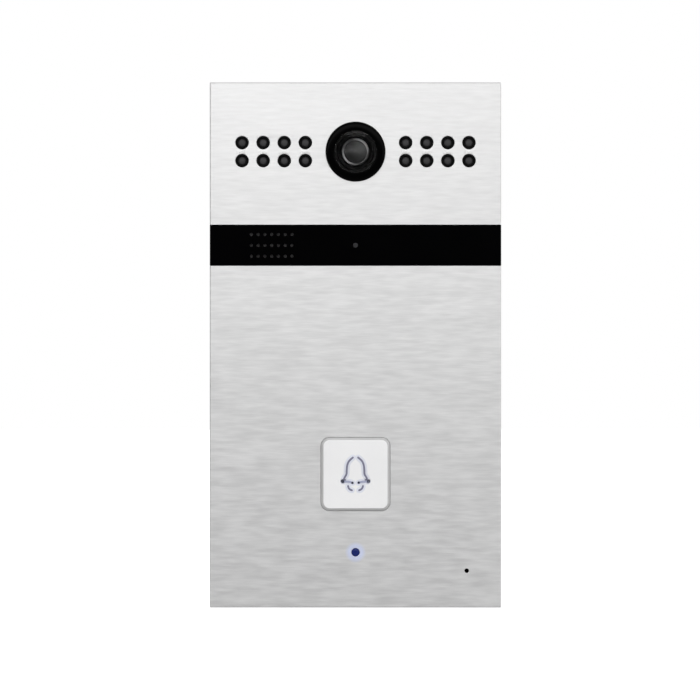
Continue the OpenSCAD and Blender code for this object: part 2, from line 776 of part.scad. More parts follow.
module terminal_headers() color([0.1, 0.35, 0.18])
    for (i = [0, 1]) translate([terminal_xs[i], board_back_y, -12.9])
        translate([-terminal_w(i) / 2, 0, 0]) cube([terminal_w(i), terminal_h, 8]);

module terminal_plugs() color([0.12, 0.5, 0.25])
    for (i = [0, 1]) translate([terminal_xs[i], board_back_y + 0.4, -28]) difference() {
        translate([-terminal_w(i) / 2, 0, 0]) cube([terminal_w(i), terminal_h - 0.8, 15]);
        for (k = [0 : terminal_counts[i] - 1])
            translate([(k - (terminal_counts[i] - 1) / 2) * terminal_pitch, 0, 0]) {
                translate([-1.2, 2.4, -1]) cube([2.4, 2.6, 8]);
                translate([0, terminal_h - 1.8, 5]) rotate([-90, 0, 0]) cylinder(r = 1.2, h = 3);
            }
    }

// ---------- rear housing ----------

module case_post_points() {
    for (s = [-1, 1], z = [-case_post_z, case_post_mid_z, case_post_z])
        translate([s * case_post_x, z]) children();
}

module board_post_points() {
    for (s = [-1, 1], z = board_screw_zs) translate([s * board_screw_x, z]) children();
}

module housing_shell() {
    difference() {
        slab(panel_back_y, wall_rim_y) round_rect(case_w, case_h, case_r);
        slab(panel_back_y - 1, floor_front_y) square([inner_w, inner_h], center = true);
        slab(floor_back_y, 1) square([inner_w, inner_h], center = true);
        slab(panel_back_y - 1, panel_back_y + gasket_d)
            round_ring(case_w - 1.2, case_h - 1.2, case_r - 0.6, gasket_w);
    }
}

module housing_posts() {
    slab(panel_back_y, floor_front_y + 0.5) case_post_points() circle(r = case_post_r);
    slab(board_back_y, floor_front_y + 0.5) board_post_points() circle(r = 3);
}

// Bar that hangs on the bracket's hooks, with a rib at each end and one in the middle.
module hanging_bar() {
    block(-36, 36, floor_back_y + 4.1, floor_back_y + 5.5, bracket_top_z, bracket_top_z + 2.5);
    for (x = [-36, -1.5, 33])
        block(x, x + 3, floor_back_y - 0.5, floor_back_y + 4.5,
            bracket_top_z, bracket_top_z + 2.5);
}

module security_bosses() {
    for (s = [-1, 1])
        block(s * security_x - 5, s * security_x + 5, floor_back_y, wall_rim_y,
            -case_h / 2 + 1, -case_h / 2 + 3.9);
}

module rear_housing() color([0.13, 0.13, 0.14]) difference() {
    union() {
        housing_shell();
        housing_posts();
        block(-bay_w / 2 - bay_wall, bay_w / 2 + bay_wall, bay_floor_y - bay_wall, floor_front_y,
            bay_bottom_z - bay_wall, bay_top_z + bay_wall);
        hanging_bar();
        security_bosses();
    }
    block(-bay_w / 2, bay_w / 2, bay_floor_y, floor_back_y + 1, bay_bottom_z, bay_top_z);
    // windows for the jack and the two terminal blocks
    block(jack_x - jack_w / 2 - 0.2, jack_x + jack_w / 2 + 0.2, board_back_y - 0.2,
        board_back_y + jack_h + 0.2, bay_top_z - 1, bay_top_z + bay_wall + 1);
    for (i = [0, 1])
        block(terminal_xs[i] - terminal_w(i) / 2 - 0.2, terminal_xs[i] + terminal_w(i) / 2 + 0.2,
            board_back_y - 0.2, board_back_y + terminal_h + 0.2,
            bay_top_z - 1, bay_top_z + bay_wall + 1);
    slab(panel_back_y - 1, floor_back_y + 1) case_post_points() circle(r = case_screw_hole_r);
    slab(board_back_y - 1, floor_front_y - 2) board_post_points() circle(r = 1.3);
    for (s = [-1, 1]) translate([s * security_x, security_y, -case_h / 2 - 1]) {
        cylinder(r = 1.6, h = 8);
        cylinder(r = 3, h = 3);
    }
}

module case_gasket() color([0.05, 0.05, 0.05])
    slab(panel_back_y, panel_back_y + gasket_d)
        round_ring(case_w - 1.2, case_h - 1.2, case_r - 0.6, gasket_w);

module case_screws() color([0.72, 0.72, 0.74])
    for (s = [-1, 1], z = [-case_post_z, case_post_mid_z, case_post_z])
        screw(s * case_post_x, z, floor_back_y, floor_back_y - panel_back_y + thread_d - 0.3,
            case_screw_r, 2.5, 2, -1);

module board_screws() color([0.72, 0.72, 0.74]) {
    for (s = [-1, 1], z = board_screw_zs)
        screw(s * board_screw_x, z, board_front_y, 7, 1.25, 2.3, 1.5, 1);
    for (s = [-1, 1], z = button_screw_zs)
        screw(s * button_screw_x, z, button_board_y + board_t, 4.4, 1.2, 2.2, 0.7, -1);
    for (side = [-1, 1], s = [-1, 1])
        fine_screw(side * lamp_mid_x, camera_z + s * lamp_screw_dz, lamp_board_y + lamp_board_t);
    for (s = [-1, 1])
        fine_screw(speaker_x, strip_z + s * speaker_post_dz, clamp_y + clamp_t);
    for (x = reader_screw_xs, s = [-1, 1])
        fine_screw(x, strip_z + s * reader_screw_dz, reader_board_y + 1);
}

// Small screw whose tip stops just short of the bottom of its thread in the panel.
module fine_screw(x, z, head_y) {
    screw(x, z, head_y, head_y - panel_back_y + thread_d - 0.3, fine_screw_r, 1.9, 0.7, -1);
}

// ---------- wall side ----------

module wall_bracket() color([0.68, 0.69, 0.7]) {
    difference() {
        slab(-bracket_t, 0) difference() {
            translate([0, (bracket_top_z + bracket_bottom_z) / 2])
                round_rect(bracket_w, bracket_top_z - bracket_bottom_z, 4);
            translate([0, (bay_top_z + bay_bottom_z) / 2]) square([62, 42], center = true);
            translate([0, 28]) square([62, 50], center = true);
            for (s = [-1, 1], k = [-1, 1])
                translate([s * wall_hole_x / 2, k * wall_hole_z / 2]) circle(d = wall_hole_d);
        }
    }
    // hooks that carry the unit
    for (x = hook_xs) {
        block(x - hook_w / 2, x + hook_w / 2, -bracket_t - 3.4, -bracket_t,
            bracket_top_z - 1.5, bracket_top_z);
        block(x - hook_w / 2, x + hook_w / 2, -bracket_t - 4.6, -bracket_t - 3.4,
            bracket_top_z - 1.5, bracket_top_z + hook_lip);
    }
    // foot that the security screws pull on
    difference() {
        block(-32, 32, -7.2, -bracket_t, bracket_bottom_z, bracket_bottom_z + 2);
        for (s = [-1, 1]) translate([s * security_x, security_y, bracket_bottom_z - 1])
            cylinder(r = 1.5, h = 4);
    }
}

module wall_seal() color([0.09, 0.09, 0.09])
    slab(wall_rim_y, 0) round_ring(case_w, case_h, case_r, case_wall);

module security_screws() color([0.72, 0.72, 0.74])
    for (s = [-1, 1]) translate([s * security_x, security_y, -case_h / 2]) difference() {
        union() {
            translate([0, 0, 0.2]) cylinder(r = 2.8, h = 1.8);
            translate([0, 0, 2]) cylinder(r = 1.45, h = 7.4);
        }
        translate([0, 0, -1]) cylinder(r = 1.3, h = 2.2, $fn = 6);
    }

module rating_label() color([0.8, 0.8, 0.78])
    slab(floor_back_y, floor_back_y + 0.12) translate([0, 28]) round_rect(50, 30, 1.5);

// ---------- internal cables ----------

// Flat ribbon along a cubic curve in Y and Z, centred on x.
module ribbon(x, w, p, steps = 14) {
    translate([x - w / 2, 0, 0]) rotate([90, 0, 90]) linear_extrude(height = w)
        stroke(p, 0.3, steps);
}

module inner_cables() color([0.8, 0.8, 0.78]) {
    // camera board, button board and card reader to the main board
    ribbon(0, 12, [[-15.5, 60], [-15.5, 44], [-23.4, 54], [-23.4, 50.2]]);
    ribbon(0, 12, [[-30.1, -24.4], [-31, -19], [-29.8, -12], [-26.6, -9.2]]);
    ribbon(35, 6, [[-33.1, 31], [-31, 24], [-28, 34], [-26.6, 28.2]]);
    // pairs of leads to the speaker, the lamps and the microphone
    for (d = [-lead_gap, lead_gap]) {
        wire([[-23.8 + d, -30.2, 28], [-23.8 + d, -29.5, 20],
            [-27 + d, -30.5, 12], [-29 + d, -30, 5]]);
        wire([[24 + d, -29.5, 58.5], [24 + d, -28.8, 54.5],
            [22.5 + d, -30.4, 52.5], [22.5 + d, -30, 47.5]]);
        wire([[-24 + d, -29.5, 58.5], [-22 + d, -28.2, 46 + d],
            [6, -28.2, 48 + d], [19.5, -30, 47 + d]]);
        wire([[mic_x, -29.9, mic_z + d], [mic_x, -25.5, mic_z + d],
            [30, -31.5, -71 + d], [22, -29.9, -71 + d]]);
    }
}

// ---------- nodes ----------

front_panel();
reader_strip();
strip_tape();
light_sensor_window();
speaker_mesh();
speaker_gasket();
speaker_basket();
speaker_cone();
speaker_magnet();
speaker_clamp();
camera_bezel();
camera_o_ring();
camera_bezel_nut();
camera_glass();
lens_barrel();
lens_elements();
lens_holder();
ir_cut_filter();
image_sensor();
camera_board();
standoffs();
camera_screws();
lamp_sleeves(-1);  // lamp_sleeves_left
lamp_sleeves(1);  // lamp_sleeves_right
night_lamps(-1);  // night_lamps_left
night_lamps(1);  // night_lamps_right
lamp_board(-1);  // lamp_board_left
lamp_board(1);  // lamp_board_right
call_button_cap();
bell_icon();
button_membrane();
button_frame();
switch_body();
switch_plunger();
button_lights();
button_board();
status_light_pipe();
status_led();
microphone_boot();
microphone();
reader_board();
reader_antenna();
light_sensor();
main_board();
board_chips();
heat_sink();
relays();
capacitors();
network_jack();
terminal_headers();
terminal_plugs();
rear_housing();
case_gasket();
case_screws();
board_screws();
wall_bracket();
wall_seal();
security_screws();
inner_cables();
rating_label();
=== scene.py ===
"""Door intercom panel: the looks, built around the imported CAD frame. All lengths are metres."""

import json
import math

import bmesh
import bpy
from mathutils import Matrix, Vector


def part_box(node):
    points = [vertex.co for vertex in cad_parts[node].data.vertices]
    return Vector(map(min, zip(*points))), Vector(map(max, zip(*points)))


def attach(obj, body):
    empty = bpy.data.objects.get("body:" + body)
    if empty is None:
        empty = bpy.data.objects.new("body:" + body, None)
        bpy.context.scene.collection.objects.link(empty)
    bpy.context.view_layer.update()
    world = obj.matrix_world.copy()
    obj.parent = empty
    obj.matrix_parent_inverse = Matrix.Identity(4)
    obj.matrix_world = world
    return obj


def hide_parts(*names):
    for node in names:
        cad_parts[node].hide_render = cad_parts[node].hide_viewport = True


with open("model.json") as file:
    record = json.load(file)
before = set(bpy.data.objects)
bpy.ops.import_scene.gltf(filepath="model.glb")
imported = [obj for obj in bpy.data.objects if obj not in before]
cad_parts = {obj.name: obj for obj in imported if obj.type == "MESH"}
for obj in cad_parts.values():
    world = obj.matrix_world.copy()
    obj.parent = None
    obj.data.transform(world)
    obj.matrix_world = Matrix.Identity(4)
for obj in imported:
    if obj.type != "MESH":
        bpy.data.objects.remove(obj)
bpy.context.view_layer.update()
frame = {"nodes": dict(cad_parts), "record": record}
NODES = frame["nodes"]
MM = 0.001


# ---------------------------------------------------------------- positions from the frame


def low(node):
    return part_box(node)[0]


def high(node):
    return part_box(node)[1]


def centre(node):
    lo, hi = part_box(node)
    return (lo + hi) / 2


FRONT_Y = low("front_panel").y
PANEL_BACK_Y = high("front_panel").y
PANEL_W = high("front_panel").x - low("front_panel").x
PANEL_H = high("front_panel").z - low("front_panel").z
STRIP = centre("reader_strip")
STRIP_H = high("reader_strip").z - low("reader_strip").z
STRIP_BACK_Y = high("reader_strip").y
CHANNEL_Y = high("strip_tape").y
CAMERA = centre("camera_bezel")
BUTTON = centre("call_button_cap")
STATUS = centre("status_light_pipe")
MIC = centre("microphone")
SPEAKER = centre("speaker_mesh")


# ---------------------------------------------------------------- outlines
# An outline is a function of inset that returns (x, z) points. A positive inset moves
# it into the material: an outer edge shrinks, and a hole grows.


def disc(x, z, r, hole=False, n=48):
    def points(inset):
        radius = r + inset if hole else r - inset
        return [
            (x + radius * math.cos(2 * math.pi * i / n), z + radius * math.sin(2 * math.pi * i / n))
            for i in range(n)
        ]

    return points


def rounded(x, z, w, h, r, hole=False, n=8):
    """A rectangle with round corners of n segments each."""

    def points(inset):
        grow = inset if hole else -inset
        half_w, half_h = w / 2 + grow, h / 2 + grow
        radius = max(r + grow, 0.02 * MM)
        out = []
        for quarter, (sx, sz) in enumerate([(1, 1), (-1, 1), (-1, -1), (1, -1)]):
            cx, cz = x + sx * (half_w - radius), z + sz * (half_h - radius)
            for i in range(n + 1):
                a = math.pi / 2 * (quarter + i / n)
                out.append((cx + radius * math.cos(a), cz + radius * math.sin(a)))
        return out

    return points


def hexagon(x, z, r):
    def points(inset):
        return [
            (x + (r + inset) * math.cos(math.pi / 3 * i), z + (r + inset) * math.sin(math.pi / 3 * i))
            for i in range(6)
        ]

    return points


def front_round(y, r, n=4):
    """Steps (inset, y) that round a front edge of radius r, from the face to the side."""
    return [
        (r * (1 - math.sin(math.pi / 2 * i / n)), y + r * (1 - math.cos(math.pi / 2 * i / n)))
        for i in range(n + 1)
    ]


# ---------------------------------------------------------------- mesh building

SHARP_ANGLE = math.radians(40)
FLAT = 0.9999  # a face whose normal has this much of Y in it lies flat to the front


class Shape:
    """Collects closed pieces of mesh and turns them into one object."""

    def __init__(self):
        self.bm = bmesh.new()

    def _walls(self, rings):
        for a, b in zip(rings, rings[1:]):
            n = len(a)
            for i in range(n):
                j = (i + 1) % n
                self.bm.faces.new((a[i], b[i], b[j], a[j]))

    def _ring(self, outline, inset, y):
        return [self.bm.verts.new((x, y, z)) for x, z in outline(inset)]

    def _cap(self, rings):
        """Fills the flat face between an outer ring and the holes in it."""
        if len(rings) == 1:
            self.bm.faces.new(rings[0])
            return
        edges = []
        for ring in rings:
            for i, v in enumerate(ring):
                w = ring[(i + 1) % len(ring)]
                edges.append(self.bm.edges.get((v, w)) or self.bm.edges.new((v, w)))
        bmesh.ops.triangle_fill(self.bm, use_beauty=True, use_dissolve=False, edges=edges)

    def slab(self, parts, pits=()):
        """A plate with rounded edges. parts are (outline, steps), the outer one first and
        then its through holes. pits are (outline, steps) of blind holes in the front."""
        built = []
        for outline, steps in parts:
            built.append([self._ring(outline, inset, y) for inset, y in steps])
        sunk = [[self._ring(outline, inset, y) for inset, y in steps] for outline, steps in pits]
        for rings in built + sunk:
            self._walls(rings)
        self._cap([rings[0] for rings in built + sunk])
        self._cap([rings[-1] for rings in built])
        for rings in sunk:
            self._cap([rings[-1]])
        return self

    def lathe(self, x, z, profile, n=96):
        """Turns (radius, y) points about a line along Y. A radius of 0 is a pole, and a
        profile with no pole closes on itself."""
        rings = []
        for r, y in profile:
            if r <= 1e-7:
                rings.append([self.bm.verts.new((x, y, z))])
            else:
                rings.append(self._ring(disc(x, z, r, n=n), 0, y))
        pairs = list(zip(rings, rings[1:]))
        if len(rings[0]) > 1 and len(rings[-1]) > 1:
            pairs.append((rings[-1], rings[0]))
        for a, b in pairs:
            if len(a) == 1 and len(b) == 1:
                continue
            for i in range(n):
                j = (i + 1) % n
                if len(a) == 1:
                    self.bm.faces.new((a[0], b[i], b[j]))
                elif len(b) == 1:
                    self.bm.faces.new((a[i], b[0], a[j]))
                else:
                    self.bm.faces.new((a[i], b[i], b[j], a[j]))
        return self

    def box(self, lo, hi, bevel=0.0):
        """A block between two corners, with its edges rounded by bevel."""
        made = bmesh.ops.create_cube(self.bm, size=1)["verts"]
        size = Vector(hi) - Vector(lo)
        middle = (Vector(hi) + Vector(lo)) / 2
        for v in made:
            v.co = Vector((v.co.x * size.x, v.co.y * size.y, v.co.z * size.z)) + middle
        if bevel:
            edges = list(dict.fromkeys(e for v in made for e in v.link_edges))
            bmesh.ops.bevel(self.bm, geom=edges, offset=bevel, segments=2,
                            affect="EDGES", profile=0.5)
        return self

    def moved(self, matrix, start):
        """Moves every vertex made since there were start of them."""
        self.bm.verts.ensure_lookup_table()
        bmesh.ops.transform(self.bm, matrix=matrix, verts=self.bm.verts[start:])

    def mesh(self, name):
        """Turns what was collected into a mesh, and ends the shape."""
        bmesh.ops.recalc_face_normals(self.bm, faces=self.bm.faces)
        for face in self.bm.faces:
            face.smooth = abs(face.normal.y) < FLAT
        mesh = bpy.data.meshes.new(name)
        self.bm.to_mesh(mesh)
        self.bm.free()
        mesh.set_sharp_from_angle(angle=SHARP_ANGLE)
        return mesh


def add_object(name, mesh):
    obj = bpy.data.objects.new(name, mesh)
    bpy.context.scene.collection.objects.link(obj)
    return obj


def piece(name, shape, body, material, replaces=()):
    """An object of its own that rides on a body and may stand for CAD nodes."""
    obj = add_object(name, shape.mesh(name))
    obj.data.materials.append(material)
    weighted = obj.modifiers.new("weighted_normals", "WEIGHTED_NORMAL")
    weighted.keep_sharp = True
    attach(obj, body)
    if replaces:
        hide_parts(*replaces)
    return obj


def carve(obj, cutter):
    """Cuts a closed shape out of an object and keeps the result as its mesh."""
    tool = add_object(f"{obj.name}_cutter", cutter.mesh("cutter"))
    cut = obj.modifiers.new("cut", "BOOLEAN")
    cut.operation = "DIFFERENCE"
    cut.solver = "EXACT"
    cut.object = tool
    weighted = obj.modifiers["weighted_normals"]
    weighted.show_viewport = False
    bpy.context.view_layer.update()
    graph = bpy.context.evaluated_depsgraph_get()
    done = bpy.data.meshes.new_from_object(obj.evaluated_get(graph), depsgraph=graph)
    done.name = obj.data.name + "_cut"
    obj.modifiers.remove(cut)
    obj.data = done
    weighted.show_viewport = True
    bpy.data.objects.remove(tool)
    for polygon in done.polygons:
        polygon.use_smooth = abs(polygon.normal.y) < FLAT
    done.set_sharp_from_angle(angle=SHARP_ANGLE)


# ---------------------------------------------------------------- materials


class Look:
    """A node material on one Principled shader, with detail added step by step."""

    def __init__(self, name, colour, roughness, metallic=0.0, **sockets):
        self.material = bpy.data.materials.new(name)
        self.material.use_nodes = True
        self.tree = self.material.node_tree
        self.shader = self.tree.nodes["Principled BSDF"]
        self.colour = colour
        self.roughness = roughness
        self.shader.inputs["Base Color"].default_value = (*colour, 1)
        self.shader.inputs["Roughness"].default_value = roughness
        self.shader.inputs["Metallic"].default_value = metallic
        for socket, value in sockets.items():
            self.shader.inputs[socket.replace("_", " ")].default_value = value
        self.tree.nodes.new("ShaderNodeTexCoord").name = "coords"
        self.colour_out = None
        self.bump_out = None

    def node(self, kind, **values):
        node = self.tree.nodes.new(kind)
        for key, value in values.items():
            setattr(node, key, value)
        return node

    def link(self, out, to):
        self.tree.links.new(out, to)

    def noise(self, size, detail=4.0, rough=0.55, kind="noise"):
        """Noise whose grain is size = (x, y, z) metres long."""
        mapping = self.node("ShaderNodeMapping")
        mapping.inputs["Scale"].default_value = [1 / s for s in size]
        self.link(self.tree.nodes["coords"].outputs["Object"], mapping.inputs["Vector"])
        if kind in ("cells", "grains"):
            node = self.node("ShaderNodeTexVoronoi")
            node.inputs["Scale"].default_value = 1
            self.link(mapping.outputs["Vector"], node.inputs["Vector"])
            return node.outputs["Distance" if kind == "cells" else "Color"]
        node = self.node("ShaderNodeTexNoise")
        node.inputs["Scale"].default_value = 1
        node.inputs["Detail"].default_value = detail
        node.inputs["Roughness"].default_value = rough
        self.link(mapping.outputs["Vector"], node.inputs["Vector"])
        return node.outputs["Fac"]

    def spread(self, value, low_value, high_value, lo=0.3, hi=0.7):
        """Maps a noise value from lo..hi to low_value..high_value."""
        node = self.node("ShaderNodeMapRange")
        node.inputs["From Min"].default_value = lo
        node.inputs["From Max"].default_value = hi
        node.inputs["To Min"].default_value = low_value
        node.inputs["To Max"].default_value = high_value
        self.link(value, node.inputs["Value"])
        return node.outputs["Result"]

    def tint(self, value, colour, amount=1.0):
        """Mixes a colour in where value is high."""
        mix = self.node("ShaderNodeMix", data_type="RGBA")
        if self.colour_out is None:
            mix.inputs[6].default_value = (*self.colour, 1)
        else:
            self.link(self.colour_out, mix.inputs[6])
        mix.inputs[7].default_value = (*colour, 1)
        self.link(self.spread(value, 0, amount, 0, 1), mix.inputs[0])
        self.colour_out = mix.outputs[2]
        self.link(self.colour_out, self.shader.inputs["Base Color"])
        return self

    def shade(self, value, amount):
        """Varies the colour's brightness by plus or minus amount with a noise value."""
        node = self.node("ShaderNodeHueSaturation")
        if self.colour_out is None:
            node.inputs["Color"].default_value = (*self.colour, 1)
        else:
            self.link(self.colour_out, node.inputs["Color"])
        self.link(self.spread(value, 1 - amount, 1 + amount), node.inputs["Value"])
        self.colour_out = node.outputs["Color"]
        self.link(self.colour_out, self.shader.inputs["Base Color"])
        return self

    def vary_roughness(self, value, amount):
        base = self.roughness
        varied = self.spread(value, max(base - amount, 0.02), min(base + amount, 1))
        self.link(varied, self.shader.inputs["Roughness"])
        return self

    def bump(self, value, depth, strength=1.0):
        node = self.node("ShaderNodeBump")
        node.inputs["Strength"].default_value = strength
        node.inputs["Distance"].default_value = depth
        self.link(value, node.inputs["Height"])
        if self.bump_out is not None:
            self.link(self.bump_out, node.inputs["Normal"])
        self.bump_out = node.outputs["Normal"]
        self.link(self.bump_out, self.shader.inputs["Normal"])
        return self

    def edge_mask(self, radius):
        """High along edges and near 0 on flats."""
        bevel = self.node("ShaderNodeBevel", samples=4)
        bevel.inputs["Radius"].default_value = radius
        geometry = self.node("ShaderNodeNewGeometry")
        dot = self.node("ShaderNodeVectorMath", operation="DOT_PRODUCT")
        self.link(bevel.outputs["Normal"], dot.inputs[0])
        self.link(geometry.outputs["Normal"], dot.inputs[1])
        return self.spread(dot.outputs["Value"], 1, 0, 0.82, 0.995)

    def near(self, point, inner, outer):
        """1 within inner of a point in the XZ plane, fading to 0 at outer."""
        separate = self.node("ShaderNodeVectorMath", operation="SUBTRACT")
        self.link(self.tree.nodes["coords"].outputs["Object"], separate.inputs[0])
        separate.inputs[1].default_value = (point[0], 0, point[1])
        flat = self.node("ShaderNodeVectorMath", operation="MULTIPLY")
        flat.inputs[1].default_value = (1, 0, 1)
        self.link(separate.outputs["Vector"], flat.inputs[0])
        length = self.node("ShaderNodeVectorMath", operation="LENGTH")
        self.link(flat.outputs["Vector"], length.inputs[0])
        return self.spread(length.outputs["Value"], 1, 0, inner, outer)


def brushed(name, colour, roughness):
    """Metal brushed along X: long uneven streaks, fine lines and a faint cloudiness."""
    look = Look(name, colour, roughness, 1.0)
    streaks = look.noise((7.5 * MM, 3 * MM, 1.25 * MM), detail=1.5, rough=0.45)
    lines = look.noise((7 * MM, 1 * MM, 0.2 * MM), detail=3, rough=0.6)
    cloud = look.noise((26 * MM, 9 * MM, 7 * MM), detail=2)
    look.shade(streaks, 0.056).shade(lines, 0.045).shade(cloud, 0.015)
    look.vary_roughness(streaks, 0.035)
    look.bump(lines, 0.004 * MM, 0.3)
    return look


def moulded(name, colour, roughness, grain, **sockets):
    """Moulded plastic, rubber or print. grain is a fine grain's size and depth in millimetres
    and the amount of a broad mottling."""
    size, depth, mottle = grain
    look = Look(name, colour, roughness, **sockets)
    fine = look.noise((size * MM,) * 3, detail=3)
    broad = look.noise((18 * MM,) * 3, detail=3)
    look.shade(broad, mottle).vary_roughness(broad, 0.05).bump(fine, depth * MM, 0.6)
    return look


def polished(name, colour, roughness, **sockets):
    """Gloss plastic or glass with the faintest smears."""
    look = Look(name, colour, roughness, **sockets)
    smear = look.noise((14 * MM,) * 3, detail=3, rough=0.5)
    look.vary_roughness(smear, 0.02).bump(smear, 0.01 * MM, 0.05)
    return look


def foam(name, colour):
    """Matt foam with open pores."""
    look = Look(name, colour, 0.85)
    pores = look.noise((0.5 * MM,) * 3, kind="cells")
    look.shade(pores, 0.35).bump(pores, 0.06 * MM, 0.8)
    return look


def plated(name, colour, roughness):
    """Plated or bare metal, clouded and finely scratched."""
    look = Look(name, colour, roughness, 1.0)
    cloud = look.noise((2.2 * MM,) * 3, detail=4)
    scratch = look.noise((0.12 * MM, 3 * MM, 3 * MM), detail=2)
    look.shade(cloud, 0.07).vary_roughness(cloud, 0.08).bump(scratch, 0.004 * MM, 0.3)
    return look


def board_look(name, colour):
    """A circuit board: solder mask over faint tracks."""
    look = Look(name, colour, 0.32, Coat_Weight=0.4, Coat_Roughness=0.15)
    tracks = look.noise((1.6 * MM, 4 * MM, 1.6 * MM), kind="cells")
    weave = look.noise((0.5 * MM,) * 3, detail=2)
    look.tint(look.spread(tracks, 1, 0, 0.1, 0.18), [min(c * 2.2 + 0.01, 1) for c in colour], 0.5)
    look.shade(weave, 0.06).bump(tracks, 0.02 * MM, 0.4)
    return look


# Looks with a function of their own


def brushed_panel(slot):
    """The front's brushed metal, with a painted highlight along its edges and the status light's blue
    halo painted into its colour.
    """
    look = brushed(slot, (0.757, 0.757, 0.757), 0.46)
    # painted glow: the status light's blue halo, tinted into the metal's colour around it
    glow = look.near((STATUS.x, STATUS.z), 2.4 * MM, 3.8 * MM)
    look.tint(glow, (0.75, 0.80, 1.0), 1.0)
    # painted highlight: white mixed in along the edges
    look.tint(look.edge_mask(0.25 * MM), (1, 1, 1), 0.9)
    return look


def lens_glass(slot):
    """Dark glass with a painted reflection that lightens it towards the upper right."""
    look = polished(slot, (0.010, 0.010, 0.010), 0.32, IOR=1.42)
    # painted reflection of a light at the upper right
    painted_reflection = look.near((CAMERA.x + 2.2 * MM, CAMERA.z + 1.9 * MM), 0.6 * MM, 5.2 * MM)
    return look.tint(painted_reflection, (0.085, 0.085, 0.086), 0.9)


def barrel_black(slot):
    look = Look(slot, (0.002, 0.002, 0.0022), 0.5, Specular_IOR_Level=0.12)
    grain = look.noise((0.4 * MM,) * 3, detail=2)
    return look.shade(grain, 0.2).bump(grain, 0.01 * MM, 0.5)


def retaining_ring(slot):
    """Turned metal with painted highlights on two opposite arcs, at the upper right and the lower
    left.
    """
    look = Look(slot, (0.10, 0.10, 0.101), 0.42, 0.5)
    # painted highlights: the ring is lightened on two arcs
    for x, z in ((3.2, 3.4), (-3.4, -3.0)):
        painted_highlight = look.near((CAMERA.x + x * MM, CAMERA.z + z * MM), 1.0 * MM, 4.4 * MM)
        look.tint(painted_highlight, (0.42, 0.42, 0.425))
    turned = look.noise((0.3 * MM,) * 3, detail=2)
    return look.shade(turned, 0.1).vary_roughness(turned, 0.05).bump(turned, 0.003 * MM, 0.4)


def button_white(slot):
    """White cap, lit a little from behind."""
    look = moulded(slot, (0.875, 0.875, 0.88), 0.34, EVEN, Subsurface_Weight=0.15,
                   Coat_Weight=0.15, Coat_Roughness=0.2)
    look.shader.inputs["Subsurface Radius"].default_value = (1.2 * MM, 1.2 * MM, 1.2 * MM)
    look.shader.inputs["Emission Color"].default_value = (1, 1, 1, 1)
    look.shader.inputs["Emission Strength"].default_value = 0.12
    return look


def light_pipe(slot):
    look = polished(slot, (0.006, 0.014, 0.10), 0.2, Specular_IOR_Level=0.2)
    look.shader.inputs["Emission Color"].default_value = (0.05, 0.12, 0.9, 1)
    look.shader.inputs["Emission Strength"].default_value = 0.05
    return look


def dark_mesh(slot):
    look = Look(slot, (0.10, 0.10, 0.102), 0.6, 0.3)
    weave = look.noise((0.35 * MM,) * 3, kind="cells")
    return look.shade(weave, 0.4).bump(weave, 0.08 * MM, 0.9)


def case_black(slot):
    """Black moulding with a leather-like texture and slightly rubbed edges."""
    look = moulded(slot, (0.022, 0.022, 0.024), 0.52, (0.45, 0.03, 0.10))
    leather = look.noise((1.3 * MM,) * 3, detail=3, rough=0.65)
    look.shade(leather, 0.22).bump(leather, 0.05 * MM, 0.7)
    return look.tint(look.edge_mask(0.35 * MM), (0.10, 0.10, 0.105), 0.5)


def bracket_steel(slot):
    """Zinc-coated sheet with a soft spangle and brighter edges."""
    look = Look(slot, (0.52, 0.53, 0.54), 0.40, 1.0)
    spangle = look.noise((5 * MM,) * 3, kind="grains")
    rub = look.noise((3 * MM, 3 * MM, 0.3 * MM), detail=3)
    look.shade(spangle, 0.035).vary_roughness(spangle, 0.05).shade(rub, 0.04)
    look.bump(rub, 0.004 * MM, 0.3)
    return look.tint(look.edge_mask(0.25 * MM), (0.75, 0.75, 0.76), 0.6)


def label_silver(slot):
    look = Look(slot, (0.55, 0.55, 0.56), 0.38, 0.4)
    satin = look.noise((0.3 * MM, 1 * MM, 5 * MM), detail=3)
    return look.shade(satin, 0.05).vary_roughness(satin, 0.06)


OWN_LOOKS = {
    "brushed_panel": brushed_panel, "lens_glass": lens_glass, "barrel_black": barrel_black,
    "retaining_ring": retaining_ring, "button_white": button_white, "light_pipe": light_pipe,
    "dark_mesh": dark_mesh, "case_black": case_black, "bracket_steel": bracket_steel,
    "label_silver": label_silver,
}

# grain and its depth in millimetres, and how strong the mottling is
MATT = (0.35, 0.012, 0.10)
SATIN = (0.3, 0.01, 0.10)
PRINT = (0.3, 0.004, 0.10)
EVEN = (0.25, 0.004, 0.02)
RUBBER = (0.3, 0.015, 0.10)
PAPER = (0.6, 0.03, 0.10)
SOFT = (0.8, 0.01, 0.10)
SLEEVE = (0.5, 0.01, 0.10)

